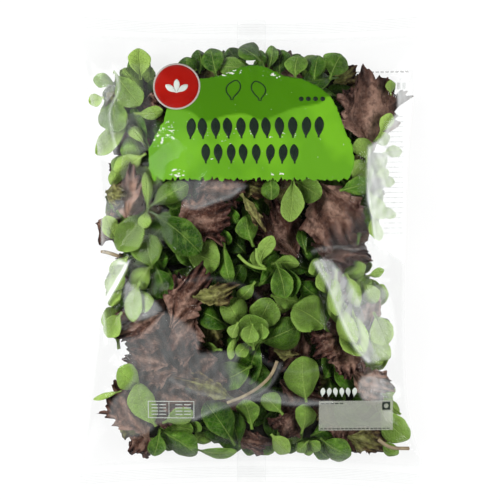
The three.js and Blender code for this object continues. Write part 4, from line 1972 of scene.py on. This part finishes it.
@dataclass
class SealRibs:
    """The fine crimp lines pressed across each end seal."""

    shape: BagShape
    repeat: NodeGroup
    tube: NodeGroup
    finish: Material
    pitch: float = 1.05
    radius: float = 0.16
    reach: float = 0.985
    steps: int = 90
    lift: float = 0.3
    whitening: float = 0.03

    def build(self, name: str, top: bool, first: float, count: int) -> None:
        """Build one seal's lines.

        Args:
            name: the piece's name.
            top: whether it is the top seal.
            first: where the first line lies, as s.
            count: how many lines.
        """
        u = np.linspace(-self.reach, self.reach, self.steps)
        s = np.full(u.shape, first)
        x, y = self.shape.plan(u, s)
        z = self.shape.upper(u, s) + self.lift
        seal = self.shape.top_seal if top else self.shape.bottom_seal
        drop = -seal.droop / seal.depth * self.pitch
        source = curve_object(name + "_line", np.stack([x, y, z], 1))
        line = self.tube.apply(source, name + "_tube", Radius=self.radius * MM, Material=self.finish)
        step = self.pitch if top else -self.pitch
        ribs = self.repeat.apply(
            line, name, Count=count, Step=(0.0, step * MM, drop * MM), Seed=0, Material=self.finish
        )
        haze = ribs.data.attributes.new("haze", "FLOAT", "POINT")
        haze.data.foreach_set("value", np.full(len(ribs.data.vertices), self.whitening, np.float32))
        settle(ribs)


def curve_object(name: str, points: Array, end: float = 1.0) -> Object:
    """Make a plain curve through points given in millimetres.

    Args:
        name: the object's name.
        points: one row each.
        end: how thick a tube along it is at its end, as a share of its start.

    Returns:
        The object.
    """
    curve = bpy.data.curves.new(name, "CURVE")
    curve.dimensions = "3D"
    spline = curve.splines.new("POLY")
    spline.points.add(len(points) - 1)
    for target, point, radius in zip(spline.points, points, np.linspace(1, end, len(points))):
        target.co = (*(point * MM), 1.0)
        target.radius = radius
    return add_object(name, curve)


def spline(a: Array, b: Array, c: Array, d: Array, t: Array) -> Array:
    """Give points of the smooth curve from b to c, where a and d are the points beside them."""
    square, cube = 2 * a - 5 * b + 4 * c - d, 3 * b - a - 3 * c + d
    return 0.5 * (2 * b + (c - a) * t + square * t**2 + cube * t**3)


def smooth_loop(outline: Outline, steps: int = 3) -> Array:
    """Give a smooth closed curve through plan points, with steps between two of them."""
    points = np.array(outline, float)[:, None, :]
    t = (np.arange(steps) / steps)[None, :, None]
    return spline(*(np.roll(points, back, 0) for back in (1, 0, -1, -2)), t).reshape(-1, 2)


def smooth_route(route: Outline, steps: int = 6) -> Array:
    """Give a smooth open curve through plan points, with steps between two of them."""
    p = np.array([route[0], *route, route[-1]], float)
    t = np.linspace(0, 1, steps, endpoint=False)[:, None]
    stretches = [spline(*four, t) for four in zip(p, p[1:], p[2:], p[3:])]
    return np.concatenate([*stretches, p[-1:]])


# The piece, the finish and the slot of each kind of leaf
KIND_NAMES = {
    LeafKind.LAMBS: ("lambs_lettuce", "green_leaf", "green_leaf"),
    LeafKind.RED: ("red_lettuce", "red_leaf", "red_leaf"),
    LeafKind.OLIVE: ("olive_lettuce", "olive_leaf", "red_leaf"),
}


@dataclass
class Leaves:
    """All the leaves in the bag: those that show, those under them, and the heart of the pile, a slab
    painted dark as shade.
    """

    shape: BagShape
    film: Film
    shown: Sequence[Leaf]
    finishes: dict[str, Material]
    tube: NodeGroup
    clearance: float = 0.7
    front_share: float = 0.55
    stalk_taper: float = 0.6
    heart_inset: float = 17.0
    heart_ends: Point = (-122, 112)
    heart_rows: int = 110
    heart_columns: int = 76
    heart_gap: float = 1.0
    heart_half: float = 0.4

    def build(self) -> None:
        """Lay both sides of the pile and close its heart."""
        film = self.film
        top = HeightMap(film.map.values - self.clearance, film.map.left, film.map.bottom)
        lower = HeightMap.over(*self.shape.map_size, film.lower_at)
        roof = HeightMap(-lower.values - self.clearance, lower.left, lower.bottom)
        share = self.front_share
        middle = lower.values * share + film.map.values * (1 - share)
        front = Pile(top, HeightMap(middle, lower.left, lower.bottom))
        back = Pile(roof, HeightMap(-middle, lower.left, lower.bottom), upward=False)
        self.stalks(top)
        self.lay_shown(front)
        self.fill(front, "front", FRONT_LAYERS)
        self.fill(back, "back", BACK_LAYERS)
        self.heart(front, back)

    def stalks(self, ceiling: HeightMap) -> None:
        """Lay the bare stalks first, right under the film."""
        for stalk in STALKS:
            plan = smooth_route(stalk.route)
            z = ceiling.at(plan[:, 0], plan[:, 1]) - stalk.radius
            ceiling.lower_to(plan[:, 0], plan[:, 1], z - stalk.radius)
            finish = self.finishes["pink_stalk" if stalk.pink else "green_stalk"]
            line = np.column_stack([plan, z])
            source = curve_object(stalk.name + "_line", line, self.stalk_taper)
            piece = self.tube.apply(source, stalk.name, Radius=stalk.radius * MM, Material=finish)
            piece.data.shade_smooth()
            settle(piece)

    def lay_shown(self, pile: Pile) -> None:
        """Lay the leaves that show, a piece for each kind."""
        pieces = {kind: Mesher() for kind in LeafKind}
        for leaf in self.shown:
            steps = (33, 44) if leaf.frilled else (14, 10)
            pile.lay(leaf, *steps, pieces[leaf.kind])
        self.dress(pieces, "shown")

    def fill(self, pile: Pile, side: str, layers: Sequence[Layer]) -> None:
        """Fill in leaves under those that were laid.

        Args:
            pile: the side's pile.
            side: its name.
            layers: what fills it, outermost first.
        """
        pieces = {kind: Mesher() for kind in LeafKind}
        rng = np.random.default_rng(SEED + (2 if pile.upward else 3))
        for layer in layers:
            for leaf in Scatter(layer, rng).leaves():
                steps = (13, 28) if leaf.frilled else (10, 8)
                pile.lay(leaf, *steps, pieces[leaf.kind], needed=False)
        self.dress(pieces, side)

    def dress(self, pieces: dict[LeafKind, Mesher], side: str) -> None:
        """Give each kind's piece its finish and name."""
        for kind, piece in pieces.items():
            name, finish, slot = KIND_NAMES[kind]
            settle(piece.build(f"{name}_{side}", self.finishes[finish]))

    def heart(self, front: Pile, back: Pile) -> None:
        """Close the space between both sides with a dark slab whose colour is painted shade for the leaves
        behind them.
        """
        y = np.linspace(*self.heart_ends, self.heart_rows)[:, None] + np.zeros(self.heart_columns)
        ends = np.array([pile_ends(level) for level in y[:, 0]])
        for _ in range(3):
            ends[1:-1] = (ends[:-2] + ends[1:-1] + ends[2:]) / 3
        left, right = ends[:, :1] + self.heart_inset, ends[:, 1:] - self.heart_inset
        x = left + (right - left) * np.linspace(0, 1, self.heart_columns)
        box = (x.min(), y.min(), x.max(), y.max())
        high = front.ceiling.settled(2, box).at(x, y) - self.heart_gap
        low = self.heart_gap - back.ceiling.settled(2, box).at(x, y)
        middle = (high + low) / 2
        high, low = np.maximum(high, middle + self.heart_half), np.minimum(low, middle - self.heart_half)
        mass = Mesher()
        mass.add(*slab(x, y, high, low))
        settle(mass.build("leaf_heart_shade", self.finishes["heart"]))


def pile_ends(y: float) -> tuple[float, float]:
    """Give the x where the pile starts and ends at y."""
    crossings = [
        ax + (bx - ax) * (y - ay) / (by - ay)
        for (ax, ay), (bx, by) in edges_of(PILE_OUTLINE)
        if (ay > y) != (by > y)
    ]
    return min(crossings), max(crossings)


@dataclass
class BackSeam:
    """The lengthwise seam of the tube: a strip folded flat on the inside of the back film."""

    shape: BagShape
    finish: Material
    x: float = 1.6
    width: float = 19.0
    thickness: float = 0.06
    lift: float = 0.03
    sink: float = 0.12
    edge_milk: float = 0.03
    end: float = 1.98

    def build(self) -> None:
        """Build the strip from cut edge to cut edge."""
        shift, s = np.meshgrid(np.linspace(-0.5, 0.5, 9), np.linspace(-self.end, self.end, 160))
        x = self.x + shift * self.width
        u = x / self.shape.half_width
        y = self.shape.plan(u, s)[1]
        low = np.where(np.abs(s) < 1, self.shape.lower(u, s), self.shape.upper(u, s) - self.sink)
        points, faces = slab(x, y, low + self.lift + self.thickness, low + self.lift)
        haze = np.where(np.abs(shift).ravel() > 0.4, self.edge_milk, 0.0)
        strip = Mesher()
        strip.add(points, faces, haze=np.tile(haze, 2))
        settle(strip.build("back_seam", self.finish))


@dataclass
class Studio:
    """The plain floor, the soft lights and the camera that looks straight down."""

    camera_height: float = 2.3
    camera_shift: float = 0.00065
    frame_width: float = 0.325
    film_height: float = 0.015
    light_size: float = 1.3
    world_strength: float = 0.3
    floor_glow: float = 0.88
    floor_half: float = 2600.0
    floor_top: float = -0.02
    floor_bottom: float = -3.0
    floor_roughness: float = 0.9

    def build(self) -> None:
        """Build the studio."""
        self.floor()
        self.light("light_left", (-1.5, 0.35, 1.15), watts=50)
        self.light("light_right", (1.55, -0.2, 1.1), watts=36)
        self.camera()
        world = bpy.data.worlds.new("studio_world")
        world.use_nodes = True
        background = world.node_tree.nodes["Background"]
        background.inputs["Color"].default_value = WHITE
        background.inputs["Strength"].default_value = self.world_strength
        bpy.context.scene.world = world
        bpy.context.scene.view_settings.view_transform = "Standard"

    def floor(self) -> None:
        """Build the pale floor."""
        s = Shade("floor_finish")
        colour = s.mix(s.noise(3.0), srgb(92, 92, 92), srgb(96, 96, 96))
        surface = s.coat(colour, self.floor_roughness)
        surface.inputs["Emission Color"].default_value = WHITE
        surface.inputs["Emission Strength"].default_value = self.floor_glow
        plate = Mesher()
        side = np.array([-1.0, 1.0]) * self.floor_half
        x, y = np.meshgrid(side, side)
        plate.add(*slab(x, y, np.full((2, 2), self.floor_top), np.full((2, 2), self.floor_bottom)))
        plate.build("floor", s.finish(surface), smooth=False)

    def light(self, name: str, place: tuple[float, float, float], watts: float) -> None:
        """Add one soft light that faces the bag.

        Args:
            name: its name.
            place: where it stands, in metres.
            watts: its power.
        """
        lamp = bpy.data.lights.new(name, "AREA")
        lamp.shape = "SQUARE"
        lamp.size = self.light_size
        lamp.energy = watts
        made = add_object(name, lamp)
        made.location = place
        made.rotation_euler = (-Vector(place)).to_track_quat("-Z", "Y").to_euler()

    def camera(self) -> None:
        """Add the camera over the bag, with the top seal at the top of the picture."""
        data = bpy.data.cameras.new("camera")
        data.sensor_width = 36.0
        data.lens = data.sensor_width * (self.camera_height - self.film_height) / self.frame_width
        data.clip_end = 20.0
        made = add_object("camera", data)
        made.location = (self.camera_shift, 0.0, self.camera_height)
        bpy.context.scene.camera = made


def leaf_finishes() -> dict[str, Material]:
    """Build the finishes of what lies in the bag."""
    made = (
        GreenLeafFinish(),
        RedLeafFinish("red_leaf", srgb(102, 68, 54), srgb(76, 42, 34), srgb(160, 130, 114)),
        RedLeafFinish("olive_leaf", srgb(98, 102, 46), srgb(92, 66, 44), srgb(142, 142, 86)),
        MottledFinish("pink_stalk", srgb(152, 138, 108), srgb(126, 110, 88)),
        MottledFinish("green_stalk", srgb(132, 158, 76), srgb(108, 138, 56)),
        # The heart's near-black colour is painted shade
        MottledFinish("heart", srgb(12, 20, 8), srgb(24, 18, 14), scale=120.0, roughness=0.8, relief=0.002),
    )
    return {finish.name: finish.build() for finish in made}


def print_inks() -> dict[str, Material]:
    """Build the inks."""
    made = (
        BrushedInkFinish(),
        MottledFinish("red_ink", srgb(136, 6, 0), srgb(152, 16, 4), scale=60.0, gloss=0.08),
        MottledFinish("pale_ink", srgb(170, 160, 154), srgb(160, 150, 144)),
        MottledFinish("white_ink", srgb(200, 206, 198), srgb(184, 190, 184)),
        MottledFinish("dark_ink", srgb(20, 32, 24), srgb(28, 40, 30), gloss=0.08),
        ThinInkFinish("table_ink", srgb(206, 212, 204), cover=0.66),
        ThinInkFinish("panel_ink", srgb(184, 186, 174), cover=0.42),
        ThinInkFinish("faint_ink", srgb(120, 124, 120), cover=0.3),
    )
    return {finish.name: finish.build() for finish in made}


def main() -> None:
    """Build the bag in order."""
    logging.basicConfig(level=logging.INFO, format="%(name)s %(message)s")
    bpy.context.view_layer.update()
    low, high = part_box(NODE)
    shape = BagShape(half_width=(high[0] - low[0]) / 2 / MM)
    Studio().build()
    rng = np.random.default_rng(SEED)
    shown = [leaf for kind, rows in SHOWN_LEAVES for leaf in rows_of(kind, rows, rng)]
    film = Film(shape, shown)
    clear = FilmFinish().build()
    tube, repeat = tube_tree(), repeat_tree()
    Leaves(shape, film, shown, leaf_finishes(), tube).build()
    Printing(film, repeat, print_inks()).build()
    BackSeam(shape, FilmFinish("seam_film", clear=(0.994, 0.995, 0.994, 1.0)).build()).build()
    ribs = SealRibs(shape, repeat, tube, clear)
    ribs.build("seal_ribs_top", top=True, first=1.28, count=7)
    ribs.build("seal_ribs_bottom", top=False, first=-1.3, count=7)
    skin = film.build(clear)
    settle(skin)
    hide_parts(NODE)


if __name__ == "__main__":
    main()
